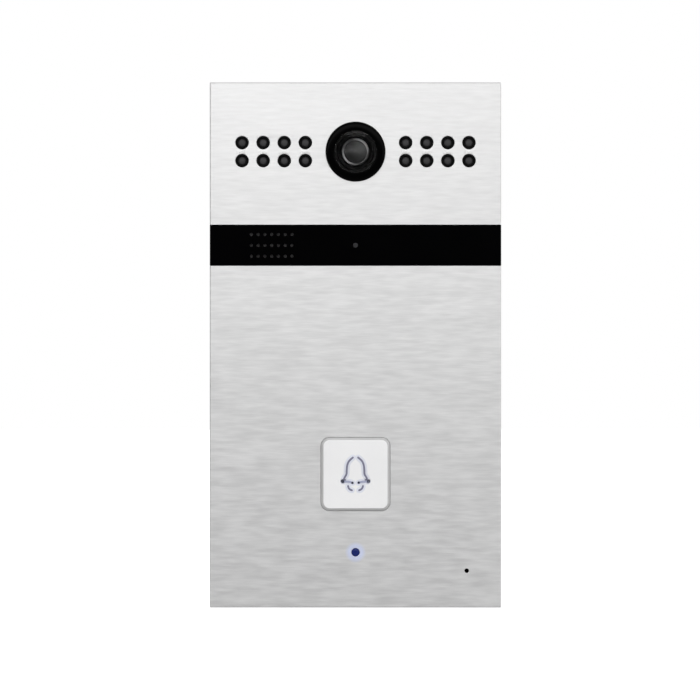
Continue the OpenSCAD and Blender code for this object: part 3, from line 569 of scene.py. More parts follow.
# slot: colour, roughness, grain, other sockets
MOULDED = {
    "window_border": ((0.009, 0.009, 0.009), 0.6, MATT, {"Specular_IOR_Level": 0.15}),
    "black_abs": ((0.0015, 0.0015, 0.0016), 0.4, MATT, {"Specular_IOR_Level": 0.06}),
    "switch_black": ((0.014, 0.014, 0.015), 0.5, MATT, {}),
    "chip_black": ((0.014, 0.014, 0.015), 0.5, MATT, {}),
    "microphone_metal": ((0.004, 0.004, 0.004), 0.8, MATT, {}),
    # grey of the painted shade on the call button's sloping edge
    "button_edge": ((0.60, 0.60, 0.60), 0.5, EVEN, {}),
    "icon_blue": ((0.22, 0.22, 0.31), 0.45, PRINT, {}),
    "icon_base": ((0.42, 0.44, 0.60), 0.45, PRINT, {}),
    "icon_dots": ((0.015, 0.017, 0.045), 0.45, PRINT, {}),
    # light blue of the bell icon's painted glow
    "icon_glow": ((0.845, 0.862, 0.95), 0.45, PRINT, {}),
    "label_ink": ((0.08, 0.08, 0.085), 0.6, PRINT, {}),
    "switch_red": ((0.4, 0.02, 0.015), 0.42, SATIN, {}),
    "relay_blue": ((0.02, 0.07, 0.28), 0.42, SATIN, {}),
    "terminal_green": ((0.02, 0.30, 0.09), 0.42, SATIN, {}),
    "cone_paper": ((0.02, 0.02, 0.022), 0.7, PAPER, {}),
    "black_rubber": ((0.012, 0.012, 0.012), 0.75, RUBBER, {}),
    "silicone": ((0.62, 0.62, 0.62), 0.45, SOFT, {"Subsurface_Weight": 0.3}),
    "wire_grey": ((0.5, 0.5, 0.48), 0.5, SLEEVE, {}),
}

# slot: colour, roughness, other sockets
POLISHED = {
    "black_glass": ((0.0008, 0.0008, 0.001), 0.07, {"Specular_IOR_Level": 0.1}),
    "bezel_black": ((0.0009, 0.0009, 0.001), 0.07, {"Specular_IOR_Level": 0.03}),
    "smoked_window": ((0.020, 0.020, 0.022), 0.2, {}),
    "clear_glass": ((0.92, 0.92, 0.92), 0.02, {"Transmission_Weight": 1.0, "IOR": 1.2}),
    "lamp_lens": ((0.049, 0.048, 0.050), 0.4, {"Specular_IOR_Level": 0.2}),
    "filter_pane": ((0.35, 0.75, 0.8), 0.04, {"Transmission_Weight": 0.8}),
    "sensor": ((0.05, 0.06, 0.10), 0.08, {"Coat_Weight": 1.0}),
    "led_white": ((0.85, 0.78, 0.4), 0.25, {}),
    "led_blue": ((0.5, 0.65, 0.95), 0.25, {}),
}

# slot: colour, roughness
PLATED = {
    "zinc_steel": ((0.6, 0.6, 0.612), 0.3),
    "magnet": ((0.6, 0.6, 0.612), 0.3),
    "screw_steel": ((0.6, 0.6, 0.612), 0.3),
    "jack_metal": ((0.6, 0.6, 0.612), 0.3),
    "nut_aluminium": ((0.45, 0.45, 0.459), 0.3),
    "capacitor_can": ((0.55, 0.55, 0.561), 0.3),
    # dark steel for the painted shade inside the screw recesses
    "recess_steel": ((0.06, 0.06, 0.062), 0.5),
    "heat_sink_black": ((0.03, 0.03, 0.03), 0.4),
    "brass_standoff": ((0.72, 0.52, 0.22), 0.28),
    "copper": ((0.75, 0.36, 0.2), 0.3),
}

FOAMS = ("adhesive", "black_foam", "wall_foam")
BOARDS = {"green_board": (0.008, 0.09, 0.035), "white_board": (0.7, 0.7, 0.67)}


def make_look(slot):
    if slot in OWN_LOOKS:
        return OWN_LOOKS[slot](slot)
    if slot in MOULDED:
        colour, roughness, grain, sockets = MOULDED[slot]
        return moulded(slot, colour, roughness, grain, **sockets)
    if slot in POLISHED:
        colour, roughness, sockets = POLISHED[slot]
        return polished(slot, colour, roughness, **sockets)
    if slot in PLATED:
        return plated(slot, *PLATED[slot])
    if slot in FOAMS:
        return foam(slot, (0.02, 0.02, 0.021))
    return board_look(slot, BOARDS[slot])


LOOKS = {}


def slot_look(slot):
    """The material of one of the record's slots, or of one of the scene's own."""
    if slot not in LOOKS:
        LOOKS[slot] = make_look(slot).material
    return LOOKS[slot]


record_slots = {s["node"]: s["material_slot"] for s in frame["record"]["subparts"]}
for node_name, node_object in NODES.items():
    node_object.data.materials.clear()
    node_object.data.materials.append(slot_look(record_slots[node_name]))


# ---------------------------------------------------------------- front panel and strip

LAMP_R = 1.5 * MM
LAMP_BASE_R = LAMP_R + 0.4 * MM
LAMP_HOLE_R = 2.4 * MM


def lamp_centres(side):
    """Centres of the eight lamps on the left or right, from the CAD lamps' box."""
    lo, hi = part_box(f"night_lamps_{side}")
    pitch = (hi.x - lo.x - 2 * LAMP_BASE_R) / 3
    xs = [lo.x + LAMP_BASE_R + i * pitch for i in range(4)]
    return [(x, z) for x in xs for z in (lo.z + LAMP_BASE_R, hi.z - LAMP_BASE_R)]


LAMPS = lamp_centres("left") + lamp_centres("right")
BUTTON_W = 24.8 * MM
BUTTON_H = 26.3 * MM
BUTTON_R = 3.1 * MM
BUTTON_GAP = 0.08 * MM
# (inset, depth) in millimetres of the cap's sloping edge
BUTTON_EDGE = ((1.2, 0), (1.06, 0.03), (0.95, 0.09), (0.8, 0.2), (0.62, 0.36), (0.42, 0.57),
               (0.22, 0.8), (0.09, 0.97), (0.02, 1.15), (0, 1.5))
BEZEL_HOLE_R = 9.5 * MM
MIC_HOLE_R = 0.8 * MM
STATUS_HOLE_R = 1.5 * MM
SENSOR_HOLE_R = 0.9 * MM
SPEAKER_HOLE_R = 0.6 * MM
SPEAKER_PITCH_X = 2.42 * MM
SPEAKER_PITCH_Z = 3.9 * MM


def build_panel():
    chamfer = 0.4 * MM
    edge = [(chamfer, FRONT_Y), (chamfer * 0.86, FRONT_Y + 0.03 * MM),
            (0.05 * MM, FRONT_Y + chamfer * 0.88), (0, FRONT_Y + chamfer)]
    edge += [(0, PANEL_BACK_Y - 0.15 * MM), (0.15 * MM, PANEL_BACK_Y)]

    def hole_edge(r=0.1 * MM):
        return front_round(FRONT_Y, r, 3) + [(0, PANEL_BACK_Y)]

    outer = rounded(0, 0, PANEL_W, PANEL_H, 0.25 * MM, n=3)
    parts = [(outer, edge)]
    parts.append((disc(CAMERA.x, CAMERA.z, BEZEL_HOLE_R, hole=True, n=96), hole_edge()))
    for x, z in LAMPS:
        parts.append((disc(x, z, LAMP_HOLE_R, hole=True), hole_edge(0.14 * MM)))
    parts.append((rounded(BUTTON.x, BUTTON.z, BUTTON_W + 2 * BUTTON_GAP,
                          BUTTON_H + 2 * BUTTON_GAP, BUTTON_R + BUTTON_GAP, hole=True, n=12),
                  hole_edge(0.08 * MM)))
    parts.append((disc(STATUS.x, STATUS.z, STATUS_HOLE_R, hole=True), hole_edge(0.12 * MM)))
    parts.append((disc(MIC.x, MIC.z, MIC_HOLE_R, hole=True, n=32), hole_edge(0.12 * MM)))
    # windows behind the strip, for the speaker, the card reader and the light sensor
    through = [(0, FRONT_Y), (0, PANEL_BACK_Y)]
    for behind in ("speaker_mesh", "reader_antenna"):
        lo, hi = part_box(behind)
        parts.append((rounded((lo.x + hi.x) / 2, STRIP.z, hi.x - lo.x + 0.4 * MM, 11 * MM,
                              0.3 * MM, hole=True, n=3), through))
    parts.append((disc(STRIP.x, STRIP.z, 2 * MM, hole=True, n=32), through))
    panel = piece("panel_plate", Shape().slab(parts), "panel",
                  slot_look("brushed_panel"), ["front_panel"])
    half = STRIP_H / 2 + 0.05 * MM
    channel = Shape().box((-PANEL_W, FRONT_Y - 3 * MM, STRIP.z - half),
                          (PANEL_W, CHANNEL_Y, STRIP.z + half))
    carve(panel, channel)


def build_strip():
    edge = front_round(FRONT_Y, 0.18 * MM, 3) + [(0, STRIP_BACK_Y)]
    parts = [(rounded(0, STRIP.z, PANEL_W, STRIP_H, 0.2 * MM, n=3), edge)]
    for column in range(-3, 4):
        for row in (-1, 0, 1):
            parts.append((disc(SPEAKER.x + column * SPEAKER_PITCH_X,
                               STRIP.z + row * SPEAKER_PITCH_Z, SPEAKER_HOLE_R, hole=True, n=24),
                          [(0, FRONT_Y), (0, STRIP_BACK_Y)]))
    parts.append((disc(STRIP.x, STRIP.z, SENSOR_HOLE_R, hole=True, n=32),
                  front_round(FRONT_Y, 0.06 * MM, 2) + [(0, STRIP_BACK_Y)]))
    piece("reader_strip_glass", Shape().slab(parts), "panel",
          slot_look("black_glass"), ["reader_strip"])
    window = front_round(low("light_sensor_window").y, 0.1 * MM, 3) + [(0, STRIP_BACK_Y)]
    window_r = SENSOR_HOLE_R - 0.02 * MM
    piece("sensor_window", Shape().slab([(disc(STRIP.x, STRIP.z, window_r, n=32), window)]),
          "panel", slot_look("smoked_window"), ["light_sensor_window"])


build_panel()
build_strip()


# ---------------------------------------------------------------- camera


def arc(cx, cy, r, start, end, n=5):
    """Points (radius, y) on an arc about (cx, cy), angles in degrees from +radius to +y."""
    return [
        (cx + r * math.cos(math.radians(start + (end - start) * i / n)),
         cy + r * math.sin(math.radians(start + (end - start) * i / n)))
        for i in range(n + 1)
    ]


def build_bezel_and_window():
    bezel_lo, bezel_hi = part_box("camera_bezel")
    glass_lo, glass_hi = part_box("camera_glass")
    front, back = bezel_lo.y, bezel_hi.y
    outer_r = (bezel_hi.x - bezel_lo.x) / 2
    glass_r = (glass_hi.x - glass_lo.x) / 2
    glass_front, glass_back = glass_lo.y, glass_hi.y
    sleeve_r = BEZEL_HOLE_R - 0.1 * MM
    bore_r = 7 * MM
    round_r = 1.15 * MM
    lip_r = 0.32 * MM
    seat_r = glass_r + 0.05 * MM
    profile = [(seat_r, glass_back), (seat_r, front + lip_r + 0.1 * MM)]
    profile += arc(seat_r + lip_r, front + lip_r, lip_r, 180, 270, 4)
    profile += arc(outer_r - round_r, front + round_r, round_r, 270, 360, 8)
    profile += [(outer_r, FRONT_Y), (sleeve_r, FRONT_Y), (sleeve_r, back), (bore_r, back),
                (bore_r, glass_back)]
    piece("camera_ring", Shape().lathe(CAMERA.x, CAMERA.z, profile, 160), "panel",
          slot_look("bezel_black"), ["camera_bezel"])

    edge = 0.15 * MM
    border = 0.08 * MM
    border_r = 6.75 * MM
    border_front = glass_back - 0.6 * border
    printed = [(border_r, border_front), (glass_r, border_front), (glass_r, glass_back),
               (border_r, glass_back)]
    piece("window_border", Shape().lathe(CAMERA.x, CAMERA.z, printed, 96), "panel",
          slot_look("window_border"))
    glass = [(0, glass_front)] + arc(glass_r - edge, glass_front + edge, edge, 270, 360, 4)
    glass += [(glass_r, glass_back - border), (0, glass_back - border)]
    piece("camera_window", Shape().lathe(CAMERA.x, CAMERA.z, glass, 96), "panel",
          slot_look("clear_glass"), ["camera_glass"])


def build_lens():
    front, back = low("lens_barrel").y, high("lens_barrel").y
    seat_y = front + 2 * MM
    collar_back = front + 3 * MM
    baffle_y = front + 7.6 * MM
    collar_r = (high("lens_barrel").x - low("lens_barrel").x) / 2
    lens_r = (high("lens_elements").x - low("lens_elements").x) / 2
    seat_r = lens_r + 0.05 * MM
    slope_r, neck_r, bore_r = 5.6 * MM, 6 * MM, 3.4 * MM
    edge = 0.25 * MM
    barrel = [(seat_r, seat_y), (seat_r, front + 0.9 * MM), (slope_r, front + edge)]
    barrel += arc(collar_r - edge, front + edge, edge, 270, 360, 4)
    barrel += [(collar_r, collar_back), (neck_r, collar_back), (neck_r, back), (bore_r, back),
               (bore_r, baffle_y)]
    # steps that widen towards the front
    for i in range(5):
        y = baffle_y - i * 1.05 * MM
        r = bore_r + i * 0.16 * MM
        barrel += [(r, y - 0.05 * MM), (r, y - 0.8 * MM), (r + 0.16 * MM, y - 0.85 * MM)]
    barrel += [(4.2 * MM, seat_y)]
    piece("lens_tube", Shape().lathe(CAMERA.x, CAMERA.z, barrel, 96), "panel",
          slot_look("barrel_black"), ["lens_barrel"])

    ring_r, wire_r = 4.45 * MM, 0.46 * MM
    section = arc(ring_r, front + 0.62 * MM, wire_r, 0, 360 - 360 / 16, 15)
    piece("lens_retaining_ring", Shape().lathe(CAMERA.x, CAMERA.z, section, 96), "panel",
          slot_look("retaining_ring"))

    sphere_r = 11 * MM
    apex = low("lens_elements").y
    edge_angle = math.asin(lens_r / sphere_r)
    dome = [(sphere_r * math.sin(edge_angle * i / 12),
             apex + sphere_r * (1 - math.cos(edge_angle * i / 12))) for i in range(13)]
    hollow_r, hollow_depth = 4.1 * MM, 0.75 * MM
    hollow = [(hollow_r * (1 - i / 8), seat_y - hollow_depth * math.sin(math.pi / 2 * i / 8))
              for i in range(9)]
    lens = Shape().lathe(CAMERA.x, CAMERA.z, dome + [(lens_r, seat_y)] + hollow, 96)
    rear_y = high("lens_elements").y
    rear_r = bore_r - 0.05 * MM
    rear = [(0, rear_y - 2.6 * MM), (1.6 * MM, rear_y - 2.5 * MM), (2.6 * MM, rear_y - 2.2 * MM),
            (rear_r, rear_y - 1.7 * MM), (rear_r, rear_y), (0, rear_y)]
    lens.lathe(CAMERA.x, CAMERA.z, rear, 64)
    piece("lens_glass_elements", lens, "panel", slot_look("lens_glass"),
          ["lens_elements"])


build_bezel_and_window()
build_lens()


# ---------------------------------------------------------------- night lamps


def build_lamps(side):
    sleeve_lo, sleeve_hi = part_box(f"lamp_sleeves_{side}")
    lamp_lo, lamp_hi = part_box(f"night_lamps_{side}")
    bore, wall = LAMP_R + 0.05 * MM, LAMP_HOLE_R - 0.1 * MM
    plate_front = PANEL_BACK_Y
    plate_back = plate_front + 1.2 * MM
    sleeve_end = plate_front + 0.6 * MM
    front, tip = sleeve_lo.y, lamp_lo.y
    inner, outer = 0.2 * MM, 0.12 * MM
    lip = [(bore, sleeve_end), (bore, front + inner)]
    lip += arc(bore + inner, front + inner, inner, 180, 270, 4)
    lip += arc(wall - outer, front + outer, outer, 270, 360, 3)
    lip += [(wall, sleeve_end)]
    lamp = [(LAMP_R * math.sin(math.radians(a)), tip + 0.7 * MM * (1 - math.cos(math.radians(a))))
            for a in range(0, 91, 9)]
    lamp += [(LAMP_R, plate_back), (LAMP_BASE_R, plate_back), (LAMP_BASE_R, lamp_hi.y),
             (0, lamp_hi.y)]
    sleeves, lamps = Shape(), Shape()
    for x, z in lamp_centres(side):
        sleeves.lathe(x, z, lip, 48)
        lamps.lathe(x, z, lamp, 40)
    middle = (sleeve_lo.x + sleeve_hi.x) / 2
    plate_w, plate_h = 29 * MM, 13.6 * MM
    depth = [(0, plate_front), (0, plate_back)]
    plate = [(rounded(middle, CAMERA.z, plate_w, plate_h, 0.6 * MM, n=4), depth)]
    plate += [(disc(x, z, bore, hole=True, n=32), depth) for x, z in lamp_centres(side)]
    sleeves.slab(plate)
    # a tab and a screw post above and below the plate
    post_r, post_bore_r = 2.2 * MM, 1.1 * MM
    post_front = plate_back - 0.1 * MM
    for up in (-1, 1):
        z = CAMERA.z + up * 9.9 * MM
        sleeves.box((middle - 3 * MM, plate_front, z - 2.6 * MM),
                    (middle + 3 * MM, plate_back, z + 2.35 * MM), 0.2 * MM)
        sleeves.lathe(middle, z, [(post_bore_r, post_front), (post_r, post_front),
                                  (post_r, sleeve_hi.y), (post_bore_r, sleeve_hi.y)], 32)
    piece(f"lamp_sleeve_row_{side}", sleeves, "panel", slot_look("black_abs"),
          [f"lamp_sleeves_{side}"])
    piece(f"infrared_lamps_{side}", lamps, "panel", slot_look("lamp_lens"),
          [f"night_lamps_{side}"])


for side_name in ("left", "right"):
    build_lamps(side_name)


# ---------------------------------------------------------------- call button


def stroke_shape(shape, points, width, y0, y1):
    """A flat raised line with round ends along points (x, z), smoothed through them."""
    dense = []
    for i in range(len(points) - 1):
        p0 = Vector(points[max(i - 1, 0)])
        p1, p2 = Vector(points[i]), Vector(points[i + 1])
        p3 = Vector(points[min(i + 2, len(points) - 1)])
        for k in range(6):
            t = k / 6
            dense.append(0.5 * (2 * p1 + (p2 - p0) * t + (2 * p0 - 5 * p1 + 4 * p2 - p3) * t * t
                                + (3 * p1 - p0 - 3 * p2 + p3) * t ** 3))
    dense.append(Vector(points[-1]))

    def outline(inset):
        left, right = [], []
        rad = width / 2 - inset
        for i, p in enumerate(dense):
            d = (dense[min(i + 1, len(dense) - 1)] - dense[max(i - 1, 0)]).normalized()
            side = Vector((-d.y, d.x)) * rad
            left.append(p + side)
            right.append(p - side)
        ends = []
        for p, d, first in ((dense[-1], (dense[-1] - dense[-2]).normalized(), left[-1]),
                            (dense[0], (dense[0] - dense[1]).normalized(), right[0])):
            start = math.atan2((first - p).y, (first - p).x)
            turn = 1 if Vector((-(first - p).y, (first - p).x)).dot(d) > 0 else -1
            ends.append([p + rad * Vector((math.cos(start + turn * math.pi * k / 8),
                                           math.sin(start + turn * math.pi * k / 8)))
                         for k in range(1, 8)])
        return [(v.x, v.y) for v in left + ends[0] + right[::-1] + ends[1]]

    shape.slab([(outline, [(0.1 * width, y0), (0, y0 + 0.3 * (y1 - y0)), (0, y1)])])


def build_cap(front):
    back = high("call_button_cap").y
    flange, wall = 1.8 * MM, 1.6 * MM
    flange_y = back - 1 * MM
    path = [(inset * MM, front + depth * MM) for inset, depth in BUTTON_EDGE]
    path += [(0, flange_y), (-flange, flange_y), (-flange, back), (wall, back),
             (wall, front + wall)]
    outline = rounded(BUTTON.x, BUTTON.z, BUTTON_W, BUTTON_H, BUTTON_R, n=12)
    shape = Shape().slab([(outline, path)])
    boss_r = 3 * MM
    boss_front = front + wall - 0.1 * MM
    boss_back = low("button_membrane").y + 0.5 * MM
    shape.lathe(BUTTON.x, BUTTON.z,
                [(0, boss_front), (boss_r, boss_front), (boss_r, boss_back), (0, boss_back)], 48)
    cap = piece("button_cap", shape, "call_button", slot_look("button_white"),
                ["call_button_cap"])
    # painted shade: the cap's sloping edge and sides get a grey look
    cap.data.materials.append(slot_look("button_edge"))
    for polygon in cap.data.polygons:
        if polygon.center.y > front + 0.06 * MM:
            polygon.material_index = 1


# Strokes of the bell's left half in millimetres from the button's middle
BELL_SIDE = [(-0.95, 5.95), (-2.3, 4.7), (-2.95, 3.2), (-3.15, 1.4), (-3.25, 0.0), (-3.9, -1.2),
             (-4.45, -2.45)]
BELL_FOOT = [(-4.5, -2.6), (-3.2, -2.65), (-2.0, -2.8), (-1.05, -3.15)]
BELL_CLAPPER = [(-2.65, -4.25), (-2.4, -5.0), (-1.9, -5.5), (-1.3, -5.75)]
# x, z and radius of the dots at the foot's ends
BELL_DOTS = ((-4.4, -2.5, 0.42), (4.4, -2.5, 0.34), (-1.1, -3.1, 0.44), (1.15, -3.0, 0.44))
# piece, strokes, their width, how far behind the icon's face, look
BELL_LAYERS = (
    # painted glow: a wide light-blue stroke stands for the backlight's halo around the lines
    ("bell_painted_glow", (BELL_SIDE, BELL_FOOT, BELL_CLAPPER), 2.1, 0.055, "icon_glow"),
    ("bell_base", (BELL_FOOT,), 0.8, 0.03, "icon_base"),
    ("bell_lines", (BELL_SIDE, BELL_CLAPPER), 0.68, 0.015, "icon_blue"),
)


def build_bell(front):
    icon_front = low("bell_icon").y
    root = front + 0.02 * MM
    for name, lines, width, step, look in BELL_LAYERS:
        shape = Shape()
        for line in lines:
            for mirror in (1, -1):
                points = [(BUTTON.x + mirror * x * MM, BUTTON.z + z * MM) for x, z in line]
                stroke_shape(shape, points, width * MM, icon_front + step * MM, root)
        piece(name, shape, "call_button", slot_look(look),
              ["bell_icon"] if name == "bell_lines" else [])
    dots = Shape()
    for x, z, r in BELL_DOTS:
        dots.slab([(disc(BUTTON.x + x * MM, BUTTON.z + z * MM, r * MM, n=24),
                    [(0.05 * MM, icon_front), (0, icon_front + 0.02 * MM), (0, root)])])
    piece("bell_dots", dots, "call_button", slot_look("icon_dots"))


build_cap(low("call_button_cap").y)
build_bell(low("call_button_cap").y)


# ---------------------------------------------------------------- status light


def build_status_light():
    lo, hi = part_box("status_light_pipe")
    r = 1.4 * MM
    dome = [(r * math.sin(math.radians(a)), lo.y + 0.3 * MM * (1 - math.cos(math.radians(a))))
            for a in range(0, 91, 10)]
    flange_y, flange_r = PANEL_BACK_Y, 2.2 * MM
    profile = dome + [(r, flange_y), (flange_r, flange_y), (flange_r, flange_y + 1 * MM),
                      (1.1 * MM, hi.y), (0, hi.y)]
    piece("status_light", Shape().lathe(STATUS.x, STATUS.z, profile, 48), "panel",
          slot_look("light_pipe"), ["status_light_pipe"])


build_status_light()


# ---------------------------------------------------------------- wall side


def screw_heads(name, node, places, along, head_r, head_h, recess_r, shank_r):
    """Screws with a rounded head and a hexagon recess. places are (point at the middle of the
    head's outer face, shank length); along is the unit direction that the screw points in."""
    shape = Shape()
    turn = Vector((0, 1, 0)).rotation_difference(Vector(along)).to_matrix().to_4x4()
    for point, length in places:
        start = len(shape.bm.verts)
        face_start = len(shape.bm.faces)
        head = front_round(0, 0.3 * MM, 4) + [(0, head_h)]
        depth = head_h * 0.6
        shape.slab([(disc(0, 0, head_r, n=40), head)],
                   [(hexagon(0, 0, recess_r), [(0.08 * MM, 0), (0, 0.1 * MM), (0, depth)])])
        shank_y = head_h * 0.9
        shape.lathe(0, 0, [(0, shank_y), (shank_r, shank_y), (shank_r, length), (0, length)], 24)
        # painted shade: faces inside the recess get the dark look
        shape.bm.faces.ensure_lookup_table()
        for face in shape.bm.faces[face_start:]:
            middle = face.calc_center_median()
            inside = math.hypot(middle.x, middle.z) < recess_r
            if inside and 0.02 * MM < middle.y < depth + 0.01 * MM:
                face.material_index = 1
        shape.moved(Matrix.Translation(point) @ turn, start)
    obj = piece(name, shape, "panel", slot_look("screw_steel"), [node])
    obj.data.materials.append(slot_look("recess_steel"))


CASE_SCREW_MIDDLE_Z = 8 * MM  # the middle pair isn't halfway


def build_screws():
    lo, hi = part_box("case_screws")
    head_r = 2.5 * MM
    xs = (lo.x + head_r, hi.x - head_r)
    zs = (lo.z + head_r, CASE_SCREW_MIDDLE_Z, hi.z - head_r)
    places = [(Vector((x, hi.y, z)), hi.y - lo.y) for x in xs for z in zs]
    screw_heads("case_screw_set", "case_screws", places, (0, -1, 0), head_r, 2 * MM,
                1.25 * MM, 1.45 * MM)
    lo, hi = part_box("security_screws")
    head_r = 2.8 * MM
    y = (lo.y + hi.y) / 2
    places = [(Vector((x, y, lo.z)), hi.z - lo.z) for x in (lo.x + head_r, hi.x - head_r)]
    screw_heads("security_screw_pair", "security_screws", places, (0, 0, 1), head_r, 1.8 * MM,
                1.3 * MM, 1.45 * MM)


TERMINAL_PITCH = 3.5 * MM
TERMINAL_MARGIN = 1.5 * MM
TERMINAL_WELL_UP = 5 * MM
RIGHT_POLES, LEFT_POLES = 6, 8


def terminal_screw_xs():
    """(x, number) of each clamp screw in the two plugs, whose widths follow from their poles."""
    lo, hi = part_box("terminal_plugs")
    right = hi.x - (RIGHT_POLES * TERMINAL_PITCH + TERMINAL_MARGIN) / 2
    left = lo.x + (LEFT_POLES * TERMINAL_PITCH + TERMINAL_MARGIN) / 2
    return [(middle + (k - (poles - 1) / 2) * TERMINAL_PITCH, k)
            for middle, poles in ((right, RIGHT_POLES), (left, LEFT_POLES))
            for k in range(poles)]


def build_terminal_screws():
    """Slotted clamp screws in the round wells of the two plugs."""
    lo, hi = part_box("terminal_plugs")
    well_z = lo.z + TERMINAL_WELL_UP
    top = hi.y - 0.9 * MM
    root = top - 1 * MM
    screw_r = 1.1 * MM
    head = [(0, root), (screw_r, root), (screw_r, top - 0.15 * MM), (0.95 * MM, top), (0, top)]
    screws, slots = Shape(), Shape()
    for x, k in terminal_screw_xs():
        screws.lathe(x, well_z, head, 24)
        start = len(slots.bm.verts)
        slots.box((-1.3 * MM, hi.y - 1.3 * MM, -0.2 * MM), (1.3 * MM, hi.y, 0.2 * MM))
        turn = Matrix.Rotation(0.9 + 1.7 * k, 4, "Y")
        slots.moved(Matrix.Translation((x, 0, well_z)) @ turn, start)
    obj = piece("terminal_screws", screws, "panel", slot_look("screw_steel"))
    carve(obj, slots)


def build_label_frame():
    """A ruled border and three lines, as on a blank label."""
    lo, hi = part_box("rating_label")
    middle = (lo + hi) / 2
    width, height = hi.x - lo.x, hi.z - lo.z
    shape = Shape()
    depth = [(0, hi.y - 0.02 * MM), (0, hi.y + 0.02 * MM)]
    frame_outer = rounded(middle.x, middle.z, width - 3 * MM, height - 3 * MM, 0.8 * MM, n=4)
    frame_inner = rounded(middle.x, middle.z, width - 3.8 * MM, height - 3.8 * MM, 0.5 * MM,
                          hole=True, n=4)
    shape.slab([(frame_outer, depth), (frame_inner, depth)])
    for row in (0.24, 0.0, -0.24):
        z = middle.z + row * height
        shape.slab([(rounded(middle.x, z, width - 10 * MM, 0.3 * MM, 0.1 * MM, n=2), depth)])
    piece("label_lines", shape, "panel", slot_look("label_ink"))


build_screws()
build_terminal_screws()
build_label_frame()


# ---------------------------------------------------------------- CAD nodes with finer edges


def soften(node, width):
    """Merges the flats of a CAD node and rounds its edges, by modifiers only."""
    obj = NODES[node]
    flat = obj.modifiers.new("merge_flats", "DECIMATE")
    flat.decimate_type = "DISSOLVE"
    flat.angle_limit = math.radians(0.5)
    bevel = obj.modifiers.new("edge_rounding", "BEVEL")
    bevel.width = width
    bevel.segments = 2
    bevel.limit_method = "ANGLE"
    bevel.angle_limit = math.radians(35)
    bevel.use_clamp_overlap = True
    weighted = obj.modifiers.new("weighted_normals", "WEIGHTED_NORMAL")
    weighted.keep_sharp = True


for node_name, width in (("wall_bracket", 0.2), ("terminal_plugs", 0.15), ("network_jack", 0.15),
                         ("rear_housing", 0.3)):
    soften(node_name, width * MM)


# ---------------------------------------------------------------- stage, light and camera

FRAME_WIDTH = 250.5 * MM  # what the picture shows at the panel's face
CAMERA_LEFT = 1.96821 * MM
CAMERA_DOWN = 1.78929 * MM
LENS_MM = 200
SENSOR_MM = 36
WORLD_LEVEL = 0.62
PATCH_LEVEL = 0.06
FLOOR_DROP = 60 * MM
FLOOR_GLOW = 0.78
RIGHT_POWER = 0.9
FRONT_POWER = 0.69
WINDOW_LEVEL = 0.5
BACK_POWER = 4.0


def build_stage():
    mesh = bpy.data.meshes.new("floor")
    half = 6.0
    z = -PANEL_H / 2 - FLOOR_DROP
    mesh.from_pydata([(-half, -half, z), (half, -half, z), (half, half, z), (-half, half, z)],
                     [], [(0, 1, 2, 3)])
    floor = add_object("floor", mesh)
    look = Look("floor_white", (0.5, 0.5, 0.5), 0.7)
    mottle = look.noise((0.5, 0.5, 0.5), detail=3)
    look.shade(mottle, 0.01)
    look.shader.inputs["Emission Color"].default_value = (1, 1, 1, 1)
    path = look.node("ShaderNodeLightPath")
    look.link(look.spread(path.outputs["Is Camera Ray"], 0, FLOOR_GLOW, 0, 1),
              look.shader.inputs["Emission Strength"])
    floor.data.materials.append(look.material)


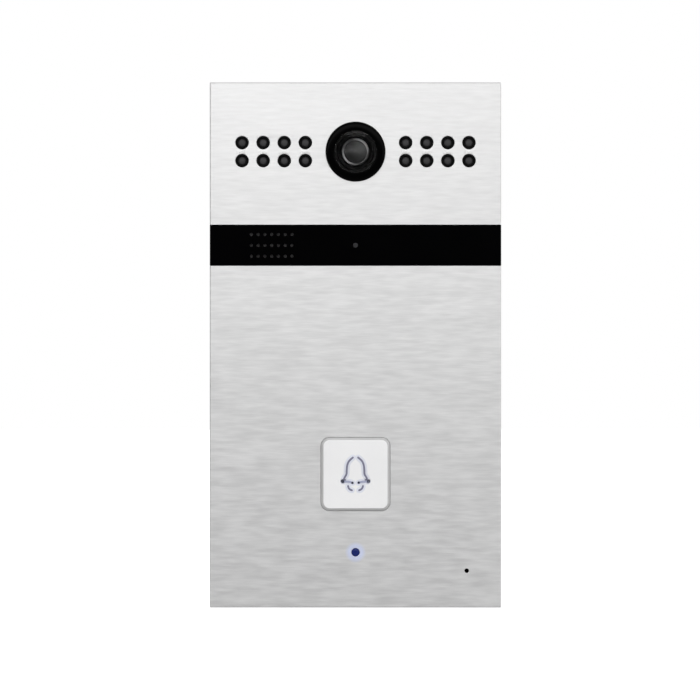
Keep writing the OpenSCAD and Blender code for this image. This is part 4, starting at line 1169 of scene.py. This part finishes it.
def build_world():
    """White where the camera looks. For lighting, a soft room with a window at the right and
    a dark patch in front of the panel, so that its flat gloss black stays black."""
    world = bpy.data.worlds.new("studio")
    bpy.context.scene.world = world
    world.use_nodes = True
    tree = world.node_tree
    tree.nodes.clear()

    def node(kind, **values):
        made = tree.nodes.new(kind)
        for key, value in values.items():
            setattr(made, key, value)
        return made

    def dot(vector):
        made = node("ShaderNodeVectorMath", operation="DOT_PRODUCT")
        tree.links.new(coords.outputs["Generated"], made.inputs[0])
        made.inputs[1].default_value = vector
        return made.outputs["Value"]

    def spread(value, lo, hi, low_value, high_value):
        made = node("ShaderNodeMapRange", interpolation_type="SMOOTHSTEP")
        for socket, number in zip(("From Min", "From Max", "To Min", "To Max"),
                                  (lo, hi, low_value, high_value)):
            made.inputs[socket].default_value = number
        tree.links.new(value, made.inputs["Value"])
        return made.outputs["Result"]

    coords = node("ShaderNodeTexCoord")
    dark_patch = spread(dot((0, -1, 0)), 0.955, 0.988, 1, PATCH_LEVEL)
    side = spread(dot((0.85, 0, 0.52)), -0.8, 0.8, 0.98, 1.18)
    window = spread(dot((0.9, 0, 0.44)), 0.80, 0.92, 0, WINDOW_LEVEL)
    level = node("ShaderNodeMath", operation="MULTIPLY")
    tree.links.new(dark_patch, level.inputs[0])
    tree.links.new(side, level.inputs[1])
    lit = node("ShaderNodeBackground")
    lit.inputs["Color"].default_value = (1, 1, 1, 1)
    strength = node("ShaderNodeMath", operation="MULTIPLY")
    strength.inputs[1].default_value = WORLD_LEVEL
    tree.links.new(level.outputs[0], strength.inputs[0])
    total = node("ShaderNodeMath", operation="ADD")
    tree.links.new(strength.outputs[0], total.inputs[0])
    tree.links.new(window, total.inputs[1])
    tree.links.new(total.outputs[0], lit.inputs["Strength"])
    seen = node("ShaderNodeBackground")
    seen.inputs["Color"].default_value = (1, 1, 1, 1)
    path = node("ShaderNodeLightPath")
    mix = node("ShaderNodeMixShader")
    tree.links.new(path.outputs["Is Camera Ray"], mix.inputs["Fac"])
    tree.links.new(lit.outputs["Background"], mix.inputs[1])
    tree.links.new(seen.outputs["Background"], mix.inputs[2])
    out = node("ShaderNodeOutputWorld")
    tree.links.new(mix.outputs["Shader"], out.inputs["Surface"])


def area_light(name, position, target, size, power):
    light = bpy.data.lights.new(name, "AREA")
    light.shape = "RECTANGLE"
    light.size, light.size_y = size
    light.energy = power
    obj = bpy.data.objects.new(name, light)
    bpy.context.scene.collection.objects.link(obj)
    obj.location = position
    obj.rotation_euler = (Vector(target) - Vector(position)).to_track_quat("-Z", "Y").to_euler()


def build_lights():
    area_light("right", (0.42, -0.75, 0.30), (0, 0, 0.05), (0.60, 0.60), RIGHT_POWER)
    area_light("front", (-0.15, -0.60, 0.175), (0, -0.04, 0.05), (0.60, 0.13), FRONT_POWER)
    area_light("back", (-0.5, 0.9, 0.55), (0, 0, 0), (0.6, 0.6), BACK_POWER)


def build_camera_view():
    camera = bpy.data.cameras.new("camera")
    camera.lens = LENS_MM
    camera.sensor_width = SENSOR_MM
    camera.clip_end = 20
    obj = bpy.data.objects.new("camera", camera)
    bpy.context.scene.collection.objects.link(obj)
    distance = FRAME_WIDTH * LENS_MM / SENSOR_MM
    obj.location = (-CAMERA_LEFT, FRONT_Y - distance, -CAMERA_DOWN)
    obj.rotation_euler = (math.radians(90), 0, 0)
    bpy.context.scene.camera = obj


build_stage()
build_world()
build_lights()
build_camera_view()
bpy.context.scene.view_settings.view_transform = "Standard"
bpy.context.scene.view_settings.look = "None"
